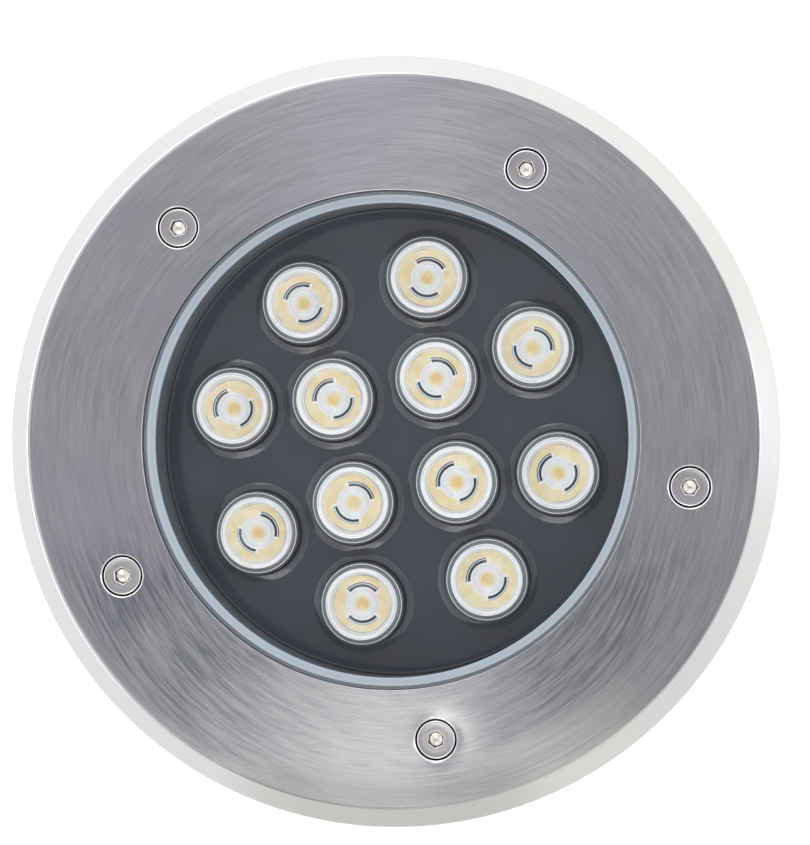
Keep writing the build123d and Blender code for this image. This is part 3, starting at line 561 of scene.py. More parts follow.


# Turned rings with a speckle. The head's edge and the socket's lip have painted highlights, the socket's
# walls are painted dark as shade and its floor is warm.
def screwMetal():
    material = newMaterial("screwMetal")
    place = attributePlace(material, "fromAxis")
    _, _, height, radius = measured(material, place)
    top = screw["top"]
    turned = ringNoise(material, place, 0.8, 5200)
    speckle = noise(material, place, 2600, 3.0, 0.6)
    tone = calc(material, "MULTIPLY_ADD", turned, 0.6, product(material, speckle, 0.4))
    color = mixColor(material, stepUp(material, tone, 0.3, 0.7), screw["dark"], screw["light"])
    # painted highlight on the head's edge
    color = paintOver(material, color, screw["headEdgeHighlight"], stepUp(material, radius, *screw["edgeFrom"]))
    inSocket = stepDown(material, radius, *screw["socketReach"])
    deep = stepDown(material, height, top - 0.55, top - 0.2)
    atWall = stepUp(material, radius, *screw["wallFrom"])
    # the socket's walls painted dark as shade
    inner = mixColor(material, atWall, screw["floorColor"], screw["wallColor"])
    color = paintOver(material, color, inner, deep, inSocket)
    lip = bandMask(material, height, top - screw["lip"] - 0.02, top - 0.065, 0.008)
    # painted highlight on the socket's lip
    color = paintOver(material, color, screw["socketLipHighlight"], lip, inSocket)
    link(material, color, "Base Color")
    link(material, spread(material, speckle, 0.24, 0.42), "Roughness")
    setShader(material, metallic=1.0)
    bump(material, tone, 0.25, 0.00008)
    return material


# Rows run from the tip up the shank and cone, over the head's edge and in to the socket. A row's
# radius blends from a circle to a hexagon: flats / 2 / cos(angle from the middle of a side).
def screwGrid(turn):
    top, tip, head, thread = screw["top"], screw["tip"], screw["head"], screw["thread"]
    edge, width, lip, flat = screw["edge"], screw["edgeWidth"], screw["lip"], screw["hexFlats"] / 2
    shoulder, dished, floor = top - edge - screw["rim"], top - screw["dish"], top - screw["hexDepth"]
    rows = [
        # radius, height, share of hexagon
        (0, tip, 0), (thread - 0.5, tip, 0), (thread, tip + 0.5, 0), (thread, shoulder - (head - thread), 0),
        (head - 0.05, shoulder, 0), (head, shoulder + 0.06, 0), (head, top - edge, 0),
        (head - 0.04, top - edge * 0.75, 0), (head - width, top, 0), (head - width - 0.12, top, 0),
        (head - width - 0.3, dished, 0), (2.9, dished, 0.1), (2.4, dished, 0.4),
        (flat + lip + 0.16, top - 0.03, 0.85), (flat + lip, top - 0.05, 1), (flat + 0.02, top - lip, 1),
        (flat, top - lip - 0.1, 1), (flat, floor, 1), (flat - 0.3, floor - 0.05, 1),
        (0.8, floor - 0.45, 0.2), (0, floor - screw["point"], 0),
    ]
    rows = np.array(rows, float)
    angles = np.arange(screw["columns"]) * fullTurn / screw["columns"]
    sixth = fullTurn / 6
    hexagon = 1 / np.cos(np.mod(angles + sixth / 2, sixth) - sixth / 2)
    radius = rows[:, :1] * (1 + rows[:, 2:] * (hexagon[None, :] - 1))
    turned = angles + math.radians(turn)
    height = rows[:, 1:2] + 0 * radius
    return np.stack([radius * np.cos(turned), radius * np.sin(turned), height], axis=2) * mm


# The five screws are one piece. Each has its own turn and sinks by half its dimple's depth.
def makeScrews(material):
    parts = []
    for place, turn, depth in zip(screwPlaces, screw["turns"], bezel["dimples"]):
        grid = screwGrid(turn)
        shift = np.array([*place, -depth / 2 * mm])
        parts.append(dict(grid=grid + shift, attributes={"fromAxis": grid}))
    piece = surface("bezelScrewSet", parts, [material], sharpAngle=30)
    return install(piece, "lamp", "screw_stainless", "bezel_screws")


gasket = dict(
    mouth=55.25, outer=63.05, groove=61.05, lowerLip=57.05, columns=360,
    # the upper lip's groove and crown, as (radius, depth under the flange's top, fillet)
    lip=((57.62, 0.0, 0.12), (57.5, 0.35, 0.1), (57.3, 0.35, 0.1), (57.12, 0.02, 0.14), (56.2, 0.10, 0.5)),
    color=(0.55, 0.66, 0.76), light=(0.72, 0.80, 0.86), milky=(0.62, 0.70, 0.82), shade=(0.12, 0.14, 0.17),
    lightFrom=(56.1, 56.9), shadeBand=(57.34, 57.9), milkyShare=0.3, shadeShare=0.65,
)


# Lighter outwards, faintly milky, with a painted shadow line where the lip meets the ring.
def paleSilicone():
    material = newMaterial("paleSilicone")
    place = objectPlace(material)
    _, _, _, radius = measured(material, place)
    cloudy = ringNoise(material, place, 6, 900)
    outwards = stepUp(material, radius, *gasket["lightFrom"])
    color = mixColor(material, outwards, gasket["color"], gasket["light"])
    color = paintOver(material, color, gasket["milky"], cloudy, gasket["milkyShare"])
    line = bandMask(material, radius, *gasket["shadeBand"], 0.05)
    color = paintOver(material, color, gasket["shade"], line, gasket["shadeShare"])
    link(material, color, "Base Color")
    setShader(material, roughness=0.28, ior=1.43, subsurface=0.25, subsurfaceScale=0.0015)
    bump(material, cloudy, 0.15, 0.00005)
    return material


# Turned from its outline: a channel round the glass's edge, with a lower and an upper lip.
def makeGasket(material):
    top = levels["flangeTop"]
    outline = roundedOutline([
        (gasket["lowerLip"], levels["ledge"], 0.3),
        (gasket["outer"], levels["ledge"], 0.3),
        (gasket["outer"], top, 0.3),
        *[(radius, top - depth, fillet) for radius, depth, fillet in gasket["lip"]],
        (gasket["mouth"], top - 0.16, 0.3),
        (gasket["mouth"], levels["glassTop"], 0.1),
        (gasket["groove"], levels["glassTop"], 0.15),
        (gasket["groove"], levels["glassBottom"], 0.15),
        (gasket["lowerLip"], levels["glassBottom"], 0.3),
    ], hold=0.08)
    grid = turnedGrid(outline, gasket["columns"])
    piece = surface("glassGasket", [dict(grid=grid, loop=True)], [material])
    return install(piece, "lamp", "pale_silicone", "glass_gasket")


glass = dict(
    radius=61.0, bevel=0.8, columns=240, tint=(0.978, 0.985, 0.99), haze=(0.001, 0.010),
    film=(0.78, 0.82, 0.90), filmScale=45,
)


# Clear to look through, with a gloss on it and a faint cloudy film between two shares.
def clearGlass(name, tint, haze, gloss=0.02):
    material = newMaterial(name)
    nodes = material.node_tree.nodes
    nodes.remove(nodes["Principled BSDF"])
    clear = addNode(material, "ShaderNodeBsdfTransparent", {"Color": (*tint, 1.0)})
    shine = addNode(material, "ShaderNodeBsdfGlossy", {"Color": (1.0, 1.0, 1.0, 1.0), "Roughness": gloss})
    film = addNode(material, "ShaderNodeBsdfDiffuse", {"Color": (*glass["film"], 1.0)})
    cloud = noise(material, objectPlace(material), glass["filmScale"], 4.0, 0.6, 0.8)
    amount = spread(material, cloud, *haze)
    # only the faces towards the viewer shine: seen from inside, a plain Fresnel would trap the light
    inside = addNode(material, "ShaderNodeNewGeometry").outputs["Backfacing"]
    outside = calc(material, "SUBTRACT", 1.0, inside)
    fresnel = product(material, addNode(material, "ShaderNodeFresnel", {"IOR": 1.5}).outputs[0], outside)
    body = addNode(material, "ShaderNodeMixShader", {0: amount, 1: clear.outputs[0], 2: film.outputs[0]})
    whole = addNode(material, "ShaderNodeMixShader", {0: fresnel, 1: body.outputs[0], 2: shine.outputs[0]})
    material.node_tree.links.new(whole.outputs[0], nodes["Material Output"].inputs["Surface"])
    return material


# A disc turned from half its section, with both edges bevelled.
def makeGlass(material):
    bottom, top = levels["glassBottom"], levels["glassTop"]
    radius, bevel = glass["radius"], glass["bevel"]
    outline = roundedOutline([
        (0, bottom, 0), (radius - bevel, bottom, 0.3), (radius, bottom + bevel, 0.3),
        (radius, top - bevel, 0.3), (radius - bevel, top, 0.3), (0, top, 0),
    ], closed=False)
    piece = surface("frontGlass", [dict(grid=turnedGrid(outline, glass["columns"]))], [material])
    return install(piece, "lamp", "clear_glass", "front_glass")


plate = dict(
    radius=56.0, window=10.3, edgeFillet=0.55, columns=360, windowColumns=96, roughness=0.11,
    color=(0.036, 0.042, 0.066), rimColor=(0.052, 0.058, 0.074),
    # a painted highlight along the plate's outer edge
    edgeHighlightFrom=55.2, edgeHighlightWidth=0.5, edgeHighlightShare=0.40, edgeHighlightColor=(0.22, 0.23, 0.25),
    # the moulded rim round a window, as (distance out from its edge, height over the plate)
    rim=((0.0, -0.7), (0.0, 0.40), (0.04, 0.48), (0.12, 0.52), (0.24, 0.51), (1.60, 0.02), (1.71, -0.02),
         (1.71, -0.7)),
)


# Moulded gloss plastic: a faint mottle, an uneven gloss, and where asked a painted highlight along the outer
# edge.
def glossBlack(name, color, roughness, outerEdgeHighlight=False):
    material = newMaterial(name)
    place = objectPlace(material)
    mottle = stepUp(material, noise(material, place, 80), 0.3, 0.7)
    shade = mixColor(material, mottle, color, tuple(channel * 1.2 + 0.002 for channel in color))
    if outerEdgeHighlight:
        _, _, _, radius = measured(material, place)
        # painted highlight along the outer edge
        edge = bandMask(material, radius, plate["edgeHighlightFrom"], plate["edgeHighlightFrom"] + plate["edgeHighlightWidth"], 0.12)
        shade = paintOver(material, shade, plate["edgeHighlightColor"], edge, plate["edgeHighlightShare"])
    link(material, shade, "Base Color")
    uneven = spread(material, noise(material, place, 45), roughness * 0.7, roughness * 1.5)
    link(material, uneven, "Roughness")
    setShader(material, coat=0.4, coatRoughness=0.04, specular=0.8)
    return material


# A disc turned from half its section, with round windows cut through it, and a rim turned round each.
def makePlate(material):
    top, bottom, radius = levels["plateTop"], levels["plateBottom"], plate["radius"]
    outline = roundedOutline([
        (0, bottom, 0), (radius, bottom, 0.2), (radius, top, plate["edgeFillet"]), (0, top, 0),
    ], closed=False, arcSteps=8)
    piece = surface("lensPlate", [dict(grid=turnedGrid(outline, plate["columns"]))], [material])
    window, columns = plate["window"], plate["windowColumns"]
    outline = np.array([(0, bottom - 1), (window, bottom - 1), (window, top + 1), (0, top + 1)]) * mm
    cutters = [dict(grid=turnedGrid(outline, columns, place)) for place in lensPlaces]
    cutAway(piece, surface("plateCutter", cutters, [material]), sharpAngle=40)
    rim = (np.array(plate["rim"])[::-1] + (window, top)) * mm
    rings = [dict(grid=turnedGrid(rim, columns, place), loop=True) for place in lensPlaces]
    rimMaterial = glossBlack("rimBlack", plate["rimColor"], plate["roughness"])
    install(surface("windowRims", rings, [rimMaterial], sharpAngle=50), "lamp", "gloss_black")
    return install(piece, "lamp", "gloss_black", "lens_plate")


lens = dict(
    face=8.5, rim=0.95, rimHeight=0.3, neck=1.5, flange=9.6, flangeThickness=1.0, well=3.8,
    wellDepth=2.5, wellDome=0.9, foot=3.7, bulge=1.3, pocket=3.1, pocketDepth=4.5, pocketDome=0.3,
    columns=96, flankRows=14,
    # the painted image that the lens shows of its emitter, standing in for the light the clear lens refracts
    # and reflects, as (radius, depth under the front) of a thin dish
    dish=((0.0, 3.7), (1.9, 3.7), (2.3, 3.62), (3.85, 3.6), (4.95, 3.5), (6.4, 3.05), (7.0, 2.75),
          (7.16, 2.6), (7.28, 2.3), (7.42, 1.2), (7.5, 0.3)),
    dishThickness=0.1,
)
# the painted image's colours from the middle out; reaches are in mm from the lens's axis
image = dict(
    dot=((0.92, 0.66, 0.28), (0.94, 0.77, 0.42)), halo=(0.96, 0.86, 0.66), haloReach=(1.05, 1.75),
    pale=((0.90, 0.905, 0.925), (0.97, 0.97, 0.97)), paleReach=(1.75, 2.35),
    brim=(0.66, 0.69, 0.78), brimReach=(3.15, 3.45), brimShare=0.45,
    cream=((0.93, 0.74, 0.43), (0.95, 0.84, 0.57)), creamSpeck=(0.97, 0.92, 0.76), creamReach=(3.75, 4.15),
    wall=(0.96, 0.965, 0.97), wallReach=(6.75, 7.15),
    groove=(0.42, 0.45, 0.50), grooveReach=(7.20, 7.32), grooveShare=0.5,
    wallLine=(0.36, 0.42, 0.52), wallLineReach=(6.72, 6.98), wallLineShare=0.8,
    # the two arcs: where they lie by |cos| of the angle from the emitter's axis, and their three colours
    arcFrom=(0.655, 0.70), tipSpan=(0.57, 0.67), arcReach=(3.90, 5.12),
    outerReach=(4.84, 5.08), innerReach=(4.00, 4.62),
    arcTip=(0.97, 0.96, 0.95), arcField=(0.78, 0.85, 0.90), arcDark=(0.008, 0.012, 0.022),
    # a faint glow of the painted image, though it is no lamp
    glow=0.15,
)
lensRim = dict(
    dim=(0.90, 0.92, 0.95), bright=(0.985, 0.985, 0.99), line=(0.40, 0.45, 0.54), lineReach=(7.96, 8.16),
    # the rim's glow, though it is no lamp
    lineShare=0.75, glow=0.22,
)


# Two dark arcs that face each other, with a thin line outside a broad one, pale between and at the tips.
def facingArcs(material, color, x, y, radius):
    sweep = calc(material, "COSINE", calc(material, "ARCTAN2", y, x))
    facing = calc(material, "ABSOLUTE", sweep)
    within = stepUp(material, facing, *image["arcFrom"])
    tips = bandMask(material, facing, *image["tipSpan"], 0.02)
    ring = bandMask(material, radius, *image["arcReach"], 0.06)
    color = paintOver(material, color, image["arcTip"], ring, tips)
    color = paintOver(material, color, image["arcField"], ring, within)
    # the outer line painted darker on one side: painted shade on a slot's wall
    shadedSide = spread(material, stepUp(material, sweep, -0.2, 0.2), 0.45, 1.0)
    outer = product(material, bandMask(material, radius, *image["outerReach"], 0.04), shadedSide)
    inner = bandMask(material, radius, *image["innerReach"], 0.05)
    return paintOver(material, color, image["arcDark"], calc(material, "ADD", outer, inner), within)


# What the lens shows, painted as a picture of the light it refracts and reflects: a phosphor dot and its
# halo, a pale ring, a cream ring, a white wall with a groove and a broken grey-blue line, and the two dark
# arcs. It glows faintly, though it is no lamp.
def paintedEmitterImage():
    material = newMaterial("paintedEmitterImage")
    x, y, _, radius = measured(material, attributePlace(material, "turnedPlace"))
    place = objectPlace(material)
    blotch, fine = noise(material, place, 330), noise(material, place, 1500)
    cream = mixColor(material, stepUp(material, blotch, 0.36, 0.62), *image["cream"])
    cream = paintOver(material, cream, image["creamSpeck"], stepUp(material, fine, 0.58, 0.80))
    pale = mixColor(material, stepUp(material, fine, 0.4, 0.7), *image["pale"])
    brim = bandMask(material, radius, *image["brimReach"], 0.10)
    pale = paintOver(material, pale, image["brim"], brim, image["brimShare"])
    color = mixColor(material, stepUp(material, blotch, 0.4, 0.6), *image["dot"])
    color = paintOver(material, color, image["halo"], stepUp(material, radius, *image["haloReach"]))
    color = paintOver(material, color, pale, stepUp(material, radius, *image["paleReach"]))
    color = paintOver(material, color, cream, stepUp(material, radius, *image["creamReach"]))
    color = paintOver(material, color, image["wall"], stepUp(material, radius, *image["wallReach"]))
    groove = bandMask(material, radius, *image["grooveReach"], 0.05)
    color = paintOver(material, color, image["groove"], groove, image["grooveShare"])
    broken = stepUp(material, noise(material, place, 130, 1.0), 0.46, 0.60)
    line = bandMask(material, radius, *image["wallLineReach"], 0.05)
    color = paintOver(material, color, image["wallLine"], line, broken, image["wallLineShare"])
    color = facingArcs(material, color, x, y, radius)
    link(material, color, "Base Color")
    # the painted image glows in its own colours
    link(material, color, "Emission Color")
    setShader(material, roughness=0.25, coat=0.3, coatRoughness=0.05, glow=image["glow"])
    return material


# The lens's front rim: cloudy white with a faint glow, though it is no lamp, and a grey line in the clear
# wall that comes and goes.
def lensRimWhite():
    material = newMaterial("lensRimWhite")
    place = attributePlace(material, "turnedPlace")
    _, _, _, radius = measured(material, place)
    shade = mixColor(material, noise(material, place, 300), lensRim["dim"], lensRim["bright"])
    broken = stepUp(material, noise(material, objectPlace(material), 110, 1.0), 0.45, 0.58)
    line = bandMask(material, radius, *lensRim["lineReach"], 0.05)
    shade = paintOver(material, shade, lensRim["line"], line, broken, lensRim["lineShare"])
    link(material, shade, "Base Color")
    # painted glow in the rim's own colour
    link(material, shade, "Emission Color")
    setShader(material, roughness=0.12, coat=0.6, coatRoughness=0.03, ior=1.49, glow=lensRim["glow"])
    return material


# The lens's half section from its foot pocket out over the flank and flange to the front rim and in to
# the well, as zones of (points, material). The materials are 0 clear, 1 the painted image, 2 the white rim,
# which also lines the flange's edge as a painted highlight, and 3 the flange. The flank bows out: radius =
# straight taper + bulge * sin(share * pi).
def lensZones(top, foot):
    face, field, flange = lens["face"], lens["face"] - lens["rim"], lens["flange"]
    well, dome, pocket = lens["well"], lens["wellDome"], lens["pocket"]
    fieldZ = top - lens["rimHeight"]
    wellZ = fieldZ - lens["wellDepth"]
    flangeTop = top - lens["neck"]
    flangeFoot = flangeTop - lens["flangeThickness"]
    pocketZ = foot + lens["pocketDepth"]
    share = np.linspace(0, 1, lens["flankRows"])
    flank = np.stack([
        lens["foot"] + (face - lens["foot"]) * share + lens["bulge"] * np.sin(share * math.pi),
        foot + (flangeFoot - foot) * share,
    ], axis=1)
    return [
        ([(0, pocketZ + lens["pocketDome"]), (pocket * 0.6, pocketZ + lens["pocketDome"] * 0.6),
          (pocket, pocketZ), (pocket, foot)], 0),
        (flank, 1),
        ([(face, flangeFoot), (flange - 0.08, flangeFoot), (flange, flangeFoot + 0.08)], 0),
        # the flange's edge in the rim's white: a painted highlight
        ([(flange, flangeTop - 0.12), (flange - 0.12, flangeTop)], 2),
        ([(flange - 0.2, flangeTop), (face + 0.1, flangeTop), (face, flangeTop + 0.1)], 3),
        ([(face, top - 0.25), (face - 0.07, top - 0.07), (face - 0.25, top), (field + 0.25, top),
          (field + 0.08, top - 0.08), (field, fieldZ + 0.05)], 2),
        ([(field - 0.05, fieldZ), (well + 0.2, fieldZ), (well + 0.05, fieldZ - 0.05), (well, fieldZ - 0.2),
          (well, wellZ), (well * 0.75, wellZ + dome * 0.45), (well * 0.4, wellZ + dome * 0.85),
          (0, wellZ + dome)], 0),
    ]


# The lens is turned from its half section. Inside it lies a thin dish that carries the painted image of its
# emitter: its under side runs out from the axis and its upper side back in.
def makeLens(number, place, turn, materials):
    zones = lensZones(levels["lensTop"], levels["lensFoot"])
    outline = np.concatenate([np.array(points, float) for points, _ in zones])
    outlineSlots = np.concatenate([np.full(len(points), slot) for points, slot in zones])[:-1]
    upper = np.array(lens["dish"]) * (1, -1) + (0, levels["lensTop"] - lens["rimHeight"])
    dish = np.concatenate([upper - (0, lens["dishThickness"]), upper[::-1]])
    shift = np.array([*place, 0])
    parts = []
    for points, slots in ((outline, outlineSlots), (dish, np.full(len(dish) - 1, 1))):
        local = turnedGrid(points * mm, lens["columns"])
        parts.append(dict(grid=local + shift, slots=slots, attributes={"turnedPlace": spun(local, -turn)}))
    piece = surface(f"lensBody_{number:02d}", parts, materials, sharpAngle=45)
    return install(piece, "lamp", "lens_acrylic", f"lens_{number:02d}")


holder = dict(outer=10.0, bore=9.0, seat=9.65, columns=96, color=(0.042, 0.045, 0.056), roughness=0.24)


# A collar turned from its section, with a step inside its mouth that seats the lens's flange.
def makeHolder(number, place, material):
    flangeTop = levels["lensTop"] - lens["neck"]
    flangeFoot = flangeTop - lens["flangeThickness"]
    outline = roundedOutline([
        (holder["bore"], levels["boardTop"], 0.1), (holder["outer"], levels["boardTop"], 0.15),
        (holder["outer"], flangeTop, 0.14), (holder["seat"], flangeTop, 0.12),
        (holder["seat"], flangeFoot, 0.05), (holder["bore"], flangeFoot, 0.1),
    ], hold=0.05)
    grid = turnedGrid(outline, holder["columns"], place)
    piece = surface(f"lensCollar_{number:02d}", [dict(grid=grid, loop=True)], [material])
    return install(piece, "lamp", "holder_black", f"lens_holder_{number:02d}")


emitter = dict(
    base=4.0, baseHeight=1.0, dome=2.6, columns=72, tabReach=6.2, tabHalf=1.5, tabHeight=0.4,
    core=((0.86, 0.60, 0.26), (0.90, 0.76, 0.40)), halo=(0.93, 0.86, 0.66), haloReach=(1.2, 1.75),
    body=(0.88, 0.88, 0.89), bodyReach=(1.75, 2.15),
)


# A blotchy phosphor core with its halo, in a white body.
def emitterPaint():
    material = newMaterial("emitterPaint")
    place = attributePlace(material, "turnedPlace")
    _, _, _, radius = measured(material, place)
    blotch = stepUp(material, noise(material, place, 900), 0.35, 0.65)
    color = mixColor(material, blotch, *emitter["core"])
    color = paintOver(material, color, emitter["halo"], stepUp(material, radius, *emitter["haloReach"]))
    color = paintOver(material, color, emitter["body"], stepUp(material, radius, *emitter["bodyReach"]))
    link(material, color, "Base Color")
    setShader(material, roughness=0.3, coat=0.7, coatRoughness=0.04)
    return material


# A turned base with a dome, height = dome * sin, radius = dome * cos, and a flat strip under it whose
# ends are the two solder tabs, built from rows of four corners and turned.
def makeEmitter(number, place, turn, material):
    board = levels["boardTop"]
    base, high, dome = emitter["base"], board + emitter["baseHeight"], emitter["dome"]
    bow = np.linspace(0.06, 0.5, 8) * math.pi
    domeRows = np.stack([dome * np.cos(bow), high + dome * np.sin(bow)], axis=1)
    domeRows[-1, 0] = 0
    outline = np.concatenate([
        [(0, board), (base, board), (base, high - 0.2), (base - 0.2, high), (dome + 0.25, high),
         (dome, high + 0.15)],
        domeRows,
    ]) * mm
    local = turnedGrid(outline, emitter["columns"])
    reach, half = emitter["tabReach"], emitter["tabHalf"]
    corners = np.array([(reach, half), (-reach, half), (-reach, -half), (reach, -half)])
    bottom, top = board + 0.01, board + emitter["tabHeight"]
    rows = [(0.0, bottom), (1.0, bottom), (1.0, top - 0.06), (0.985, top), (0.0, top)]
    tab = np.array([[(x * scale, y * scale, z) for x, y in corners] for scale, z in rows]) * mm
    shift = np.array([*place, 0])
    parts = [dict(grid=grid + shift, attributes={"turnedPlace": grid}) for grid in (local, spun(tab, turn))]
    piece = surface(f"emitter_{number:02d}", parts, [material])
    return install(piece, "lamp", "emitter_white", f"led_{number:02d}")


# Fine grain in the colour, the gloss and the surface: what moulded, cast or plated parts have.
def grained(name, color, other, roughness, metallic=0.0, grain=900.0, depth=0.0001, strength=0.25,
            coat=0.0, cloud=30.0):
    material = newMaterial(name)
    place = objectPlace(material)
    fine = noise(material, place, grain, 3.0, 0.6)
    broad = noise(material, place, cloud, 3.0, 0.55)
    mixed = calc(material, "MULTIPLY_ADD", fine, 0.5, product(material, broad, 0.5))
    link(material, mixColor(material, stepUp(material, mixed, 0.3, 0.7), color, other), "Base Color")
    link(material, spread(material, mixed, roughness - 0.08, roughness + 0.1), "Roughness")
    setShader(material, metallic=metallic, coat=coat)
    bump(material, fine, strength, depth)
    return material


# the chamber's wall painted lighter: painted light that lifts its shade
chamber = dict(radius=(57.9, 58.1), floor=(112.0, 113.0), share=0.9, color=(0.175, 0.185, 0.215))


# The housing's wall round and over the lenses is painted lighter than the coat outside: painted light that
# lifts the shade in the chamber.
def chamberPaintedLight(material):
    _, _, height, radius = measured(material, objectPlace(material))
    inside = stepDown(material, radius, *chamber["radius"])
    above = stepUp(material, height, *chamber["floor"])
    coated = material.node_tree.nodes["Principled BSDF"].inputs["Base Color"].links[0].from_socket
    # painted light on the chamber's wall
    color = paintOver(material, coated, chamber["color"], inside, above, chamber["share"])
    link(material, color, "Base Color")


# what the plain pieces wear: a dull and a light colour, the gloss, and the CAD nodes
finishes = dict(
    sleevePlastic=dict(color=(0.020, 0.021, 0.024), other=(0.034, 0.035, 0.039), roughness=0.52, grain=1400,
                       nodes=("sleeve",)),
    powderCoat=dict(color=(0.055, 0.057, 0.063), other=(0.080, 0.083, 0.092), roughness=0.45, grain=2200,
                    strength=0.3, nodes=("housing",)),
    boardMask=dict(color=(0.70, 0.70, 0.68), other=(0.82, 0.82, 0.80), roughness=0.35, nodes=("led_board",)),
    padRubber=dict(color=(0.36, 0.36, 0.38), other=(0.46, 0.46, 0.48), roughness=0.8,
                   nodes=("thermal_pad",)),
    turnedAluminium=dict(color=(0.62, 0.62, 0.63), other=(0.74, 0.74, 0.75), roughness=0.32, metallic=1.0,
                         nodes=("heat_spreader",)),
    zincPlate=dict(color=(0.58, 0.58, 0.58), other=(0.72, 0.72, 0.71), roughness=0.3, metallic=1.0,
                   nodes=("board_screws", "spreader_screws", "driver_screws")),
    driverPlastic=dict(color=(0.66, 0.66, 0.63), other=(0.76, 0.76, 0.73), roughness=0.5,
                       nodes=("driver_case",)),
    solderMask=dict(color=(0.02, 0.13, 0.05), other=(0.035, 0.20, 0.08), roughness=0.3, coat=0.3,
                    nodes=("driver_board",)),
    windingTape=dict(color=(0.62, 0.46, 0.06), other=(0.78, 0.60, 0.12), roughness=0.35,
                     nodes=("driver_transformer",)),
    canSleeve=dict(color=(0.035, 0.045, 0.09), other=(0.06, 0.075, 0.14), roughness=0.3,
                   nodes=("driver_capacitor",)),
    leadSkin=dict(color=(0.45, 0.03, 0.02), other=(0.58, 0.05, 0.035), roughness=0.4, nodes=("led_leads",)),
    glandNylon=dict(color=(0.028, 0.028, 0.030), other=(0.045, 0.045, 0.048), roughness=0.42, grain=1800,
                    nodes=("gland_body", "gland_locknut", "gland_cap")),
    sealRubber=dict(color=(0.014, 0.014, 0.014), other=(0.024, 0.024, 0.024), roughness=0.75,
                    nodes=("gland_washer", "gland_seal")),
)


# Gives the plain CAD nodes their materials. Their meshes stay as they are.
def dressPlainPieces():
    for name, finish in finishes.items():
        look = {key: value for key, value in finish.items() if key != "nodes"}
        material = grained(name, **look)
        if "housing" in finish["nodes"]:
            chamberPaintedLight(material)
        for node in finish["nodes"]:
            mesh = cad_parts[node].data
            for index in range(len(mesh.materials)):
                mesh.materials[index] = material


makeBezel(brushedSteel())
print("face ring made")
makeScrews(screwMetal())
makeGasket(paleSilicone())
makeGlass(clearGlass("frontGlassClear", glass["tint"], glass["haze"]))
print("screws, gasket and glass made")
makePlate(glossBlack("plateBlack", plate["color"], plate["roughness"], outerEdgeHighlight=True))
lensMaterials = [
    clearGlass("lensClear", (0.995, 0.995, 0.995), (0.0, 0.004)), paintedEmitterImage(), lensRimWhite(),
    clearGlass("lensFlange", (0.98, 0.985, 0.99), (0.10, 0.38), gloss=0.08),
]
holderMaterial = glossBlack("holderBlack", holder["color"], holder["roughness"])
emitterMaterial = emitterPaint()
for number, (place, turn) in enumerate(zip(lensPlaces, emitterTurns), start=1):
    makeLens(number, place, turn, lensMaterials)
    makeHolder(number, place, holderMaterial)
    makeEmitter(number, place, turn, emitterMaterial)
print("plate, lenses, holders and emitters made")
dressPlainPieces()
print("sleeve, housing and inner pieces dressed")


studio = dict(
    floorRadius=4.0, floorGap=0.0006, floorDiffuse=0.5, floorGlow=0.75, ambient=0.66,
    wall=1.20, wallBack=0.30, wallLeft=0.22, wallFront=0.30, roof=0.40, roofBack=0.75,
    lean=0.33, wallTop=0.64, roofStart=0.97, wallColor=(1.0, 0.98, 0.95), roofColor=(0.97, 0.975, 1.0),
)


# 1 for a ray that looks at the background, directly or by reflection or through glass.
def seesBackground(material):
    path = addNode(material, "ShaderNodeLightPath").outputs
    mirrored = calc(material, "MAXIMUM", path["Is Camera Ray"], path["Is Glossy Ray"])
    return calc(material, "MAXIMUM", mirrored, path["Is Transmission Ray"])


# A flat disc just under the sleeve: pale to the light, and glowing where it is looked at. From below it
# is not there, so that the underside can be looked at.
def makeFloor():
    radius = studio["floorRadius"]
    outline = np.array([(0, 0), (0.5, 0), (radius, 0)]) - (0, studio["floorGap"])
    grid = turnedGrid(outline, 96)[::-1]
    material = newMaterial("paleFloor")
    tree = material.node_tree
    tree.nodes.remove(tree.nodes["Principled BSDF"])
    grey = studio["floorDiffuse"]
    diffuse = addNode(material, "ShaderNodeBsdfDiffuse", {"Color": (grey, grey, grey, 1.0)})
    looked = product(material, seesBackground(material), studio["floorGlow"])
    glow = addNode(material, "ShaderNodeEmission", {"Color": (1.0, 1.0, 1.0, 1.0), "Strength": looked})
    both = addNode(material, "ShaderNodeAddShader", {0: diffuse.outputs[0], 1: glow.outputs[0]})
    clear = addNode(material, "ShaderNodeBsdfTransparent")
    under = addNode(material, "ShaderNodeNewGeometry").outputs["Backfacing"]
    whole = addNode(material, "ShaderNodeMixShader", {0: under, 1: both.outputs[0], 2: clear.outputs[0]})
    tree.links.new(whole.outputs[0], tree.nodes["Material Output"].inputs["Surface"])
    floor = surface("studioFloor", [dict(grid=grid)], [material])


# One of two values, by a share between 0 and 1.
def mixValue(material, share, first, second):
    return addNode(material, "ShaderNodeMix", {0: share, 2: first, 3: second}, data_type="FLOAT").outputs[0]


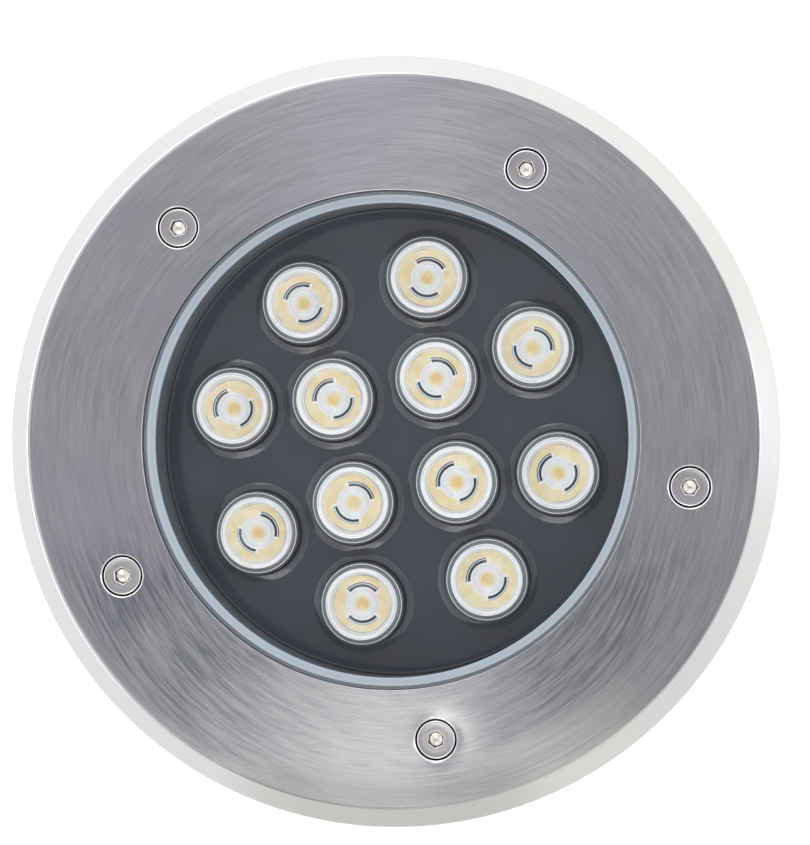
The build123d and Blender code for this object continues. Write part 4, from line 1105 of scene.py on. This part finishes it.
# The sky is white to the camera. Diffuse rays meet an even tent. Glossy rays meet one with bright walls
# and a dim roof: the roof's share steps up with height + lean * back, both brighten towards the back, and
# the walls brighten towards the left and dim towards the front.
def makeWorld():
    world = bpy.data.worlds.new("studioWorld")
    world.use_nodes = True
    bpy.context.scene.world = world
    tree = world.node_tree
    tree.nodes.clear()
    direction = addNode(world, "ShaderNodeTexCoord").outputs["Generated"]
    right, back, up = addNode(world, "ShaderNodeSeparateXYZ", {0: direction}).outputs
    left = calc(world, "MAXIMUM", product(world, right, -1.0), 0.0)
    front = calc(world, "MAXIMUM", product(world, back, -1.0), 0.0)
    wall = calc(world, "MULTIPLY_ADD", back, studio["wallBack"], studio["wall"])
    wall = calc(world, "MULTIPLY_ADD", left, studio["wallLeft"], wall)
    wall = calc(world, "MULTIPLY_ADD", front, -studio["wallFront"], wall)
    roof = calc(world, "MULTIPLY_ADD", back, studio["roofBack"], studio["roof"])
    height = calc(world, "MULTIPLY_ADD", back, studio["lean"], up)
    roofShare = stepUp(world, height, studio["wallTop"], studio["roofStart"])
    path = addNode(world, "ShaderNodeLightPath").outputs
    tent = mixValue(world, roofShare, wall, roof)
    strength = mixValue(world, path["Is Diffuse Ray"], tent, studio["ambient"])
    strength = mixValue(world, path["Is Camera Ray"], strength, 1.0)
    tint = mixColor(world, roofShare, studio["wallColor"], studio["roofColor"])
    plain = calc(world, "MAXIMUM", path["Is Camera Ray"], path["Is Diffuse Ray"])
    color = mixColor(world, plain, tint, (1.0, 1.0, 1.0))
    background = addNode(world, "ShaderNodeBackground", {"Color": color, "Strength": strength})
    output = addNode(world, "ShaderNodeOutputWorld")
    tree.links.new(background.outputs[0], output.inputs["Surface"])


lampTarget = (0.0, 0.0, 0.12)
lamps = [
    # name, direction from the ring (x, y, z), distance, size, watts, colour
    ("softboxBack", (-0.12, 0.72, 0.60), 1.1, 0.56, 1.10, (1.0, 1.0, 1.0)),
    ("softboxFront", (-0.12, -0.32, 0.95), 1.2, 0.34, 0.5, (1.0, 0.96, 0.90)),
    ("softboxLow", (0.02, -0.62, 0.74), 1.2, 0.60, 1.35, (1.0, 0.98, 0.95)),
    ("softboxSide", (0.9, 0.1, 0.45), 1.2, 0.6, 1.0, (0.97, 0.98, 1.0)),
]


# Round soft lamps, each at target + direction * distance and facing the target.
def makeLamps():
    for name, direction, distance, size, watts, color in lamps:
        light = bpy.data.lights.new(name, "AREA")
        light.shape = "DISK"
        light.size = size
        light.energy = watts
        light.color = color
        lamp = bpy.data.objects.new(name, light)
        bpy.context.scene.collection.objects.link(lamp)
        unit = np.array(direction) / np.linalg.norm(direction)
        lamp.location = np.array(lampTarget) + unit * distance
        lamp.rotation_euler = Vector(unit).to_track_quat("Z", "Y").to_euler()


# the place in metres and the turn in degrees that put the ring where the photo has it
camera = dict(place=(0.04758, -0.00999, 0.6575), turn=(1.527, 4.811, 0.046), lens=96.27, sensor=36.0)


def makeCamera():
    data = bpy.data.cameras.new("photoCamera")
    data.lens = camera["lens"]
    data.sensor_width = camera["sensor"]
    data.clip_start = 0.01
    item = bpy.data.objects.new("photoCamera", data)
    bpy.context.scene.collection.objects.link(item)
    item.location = camera["place"]
    item.rotation_euler = [math.radians(angle) for angle in camera["turn"]]
    bpy.context.scene.camera = item


makeFloor()
makeWorld()
makeLamps()
makeCamera()
bpy.context.scene.view_settings.view_transform = "Standard"
print("floor, light and camera set")
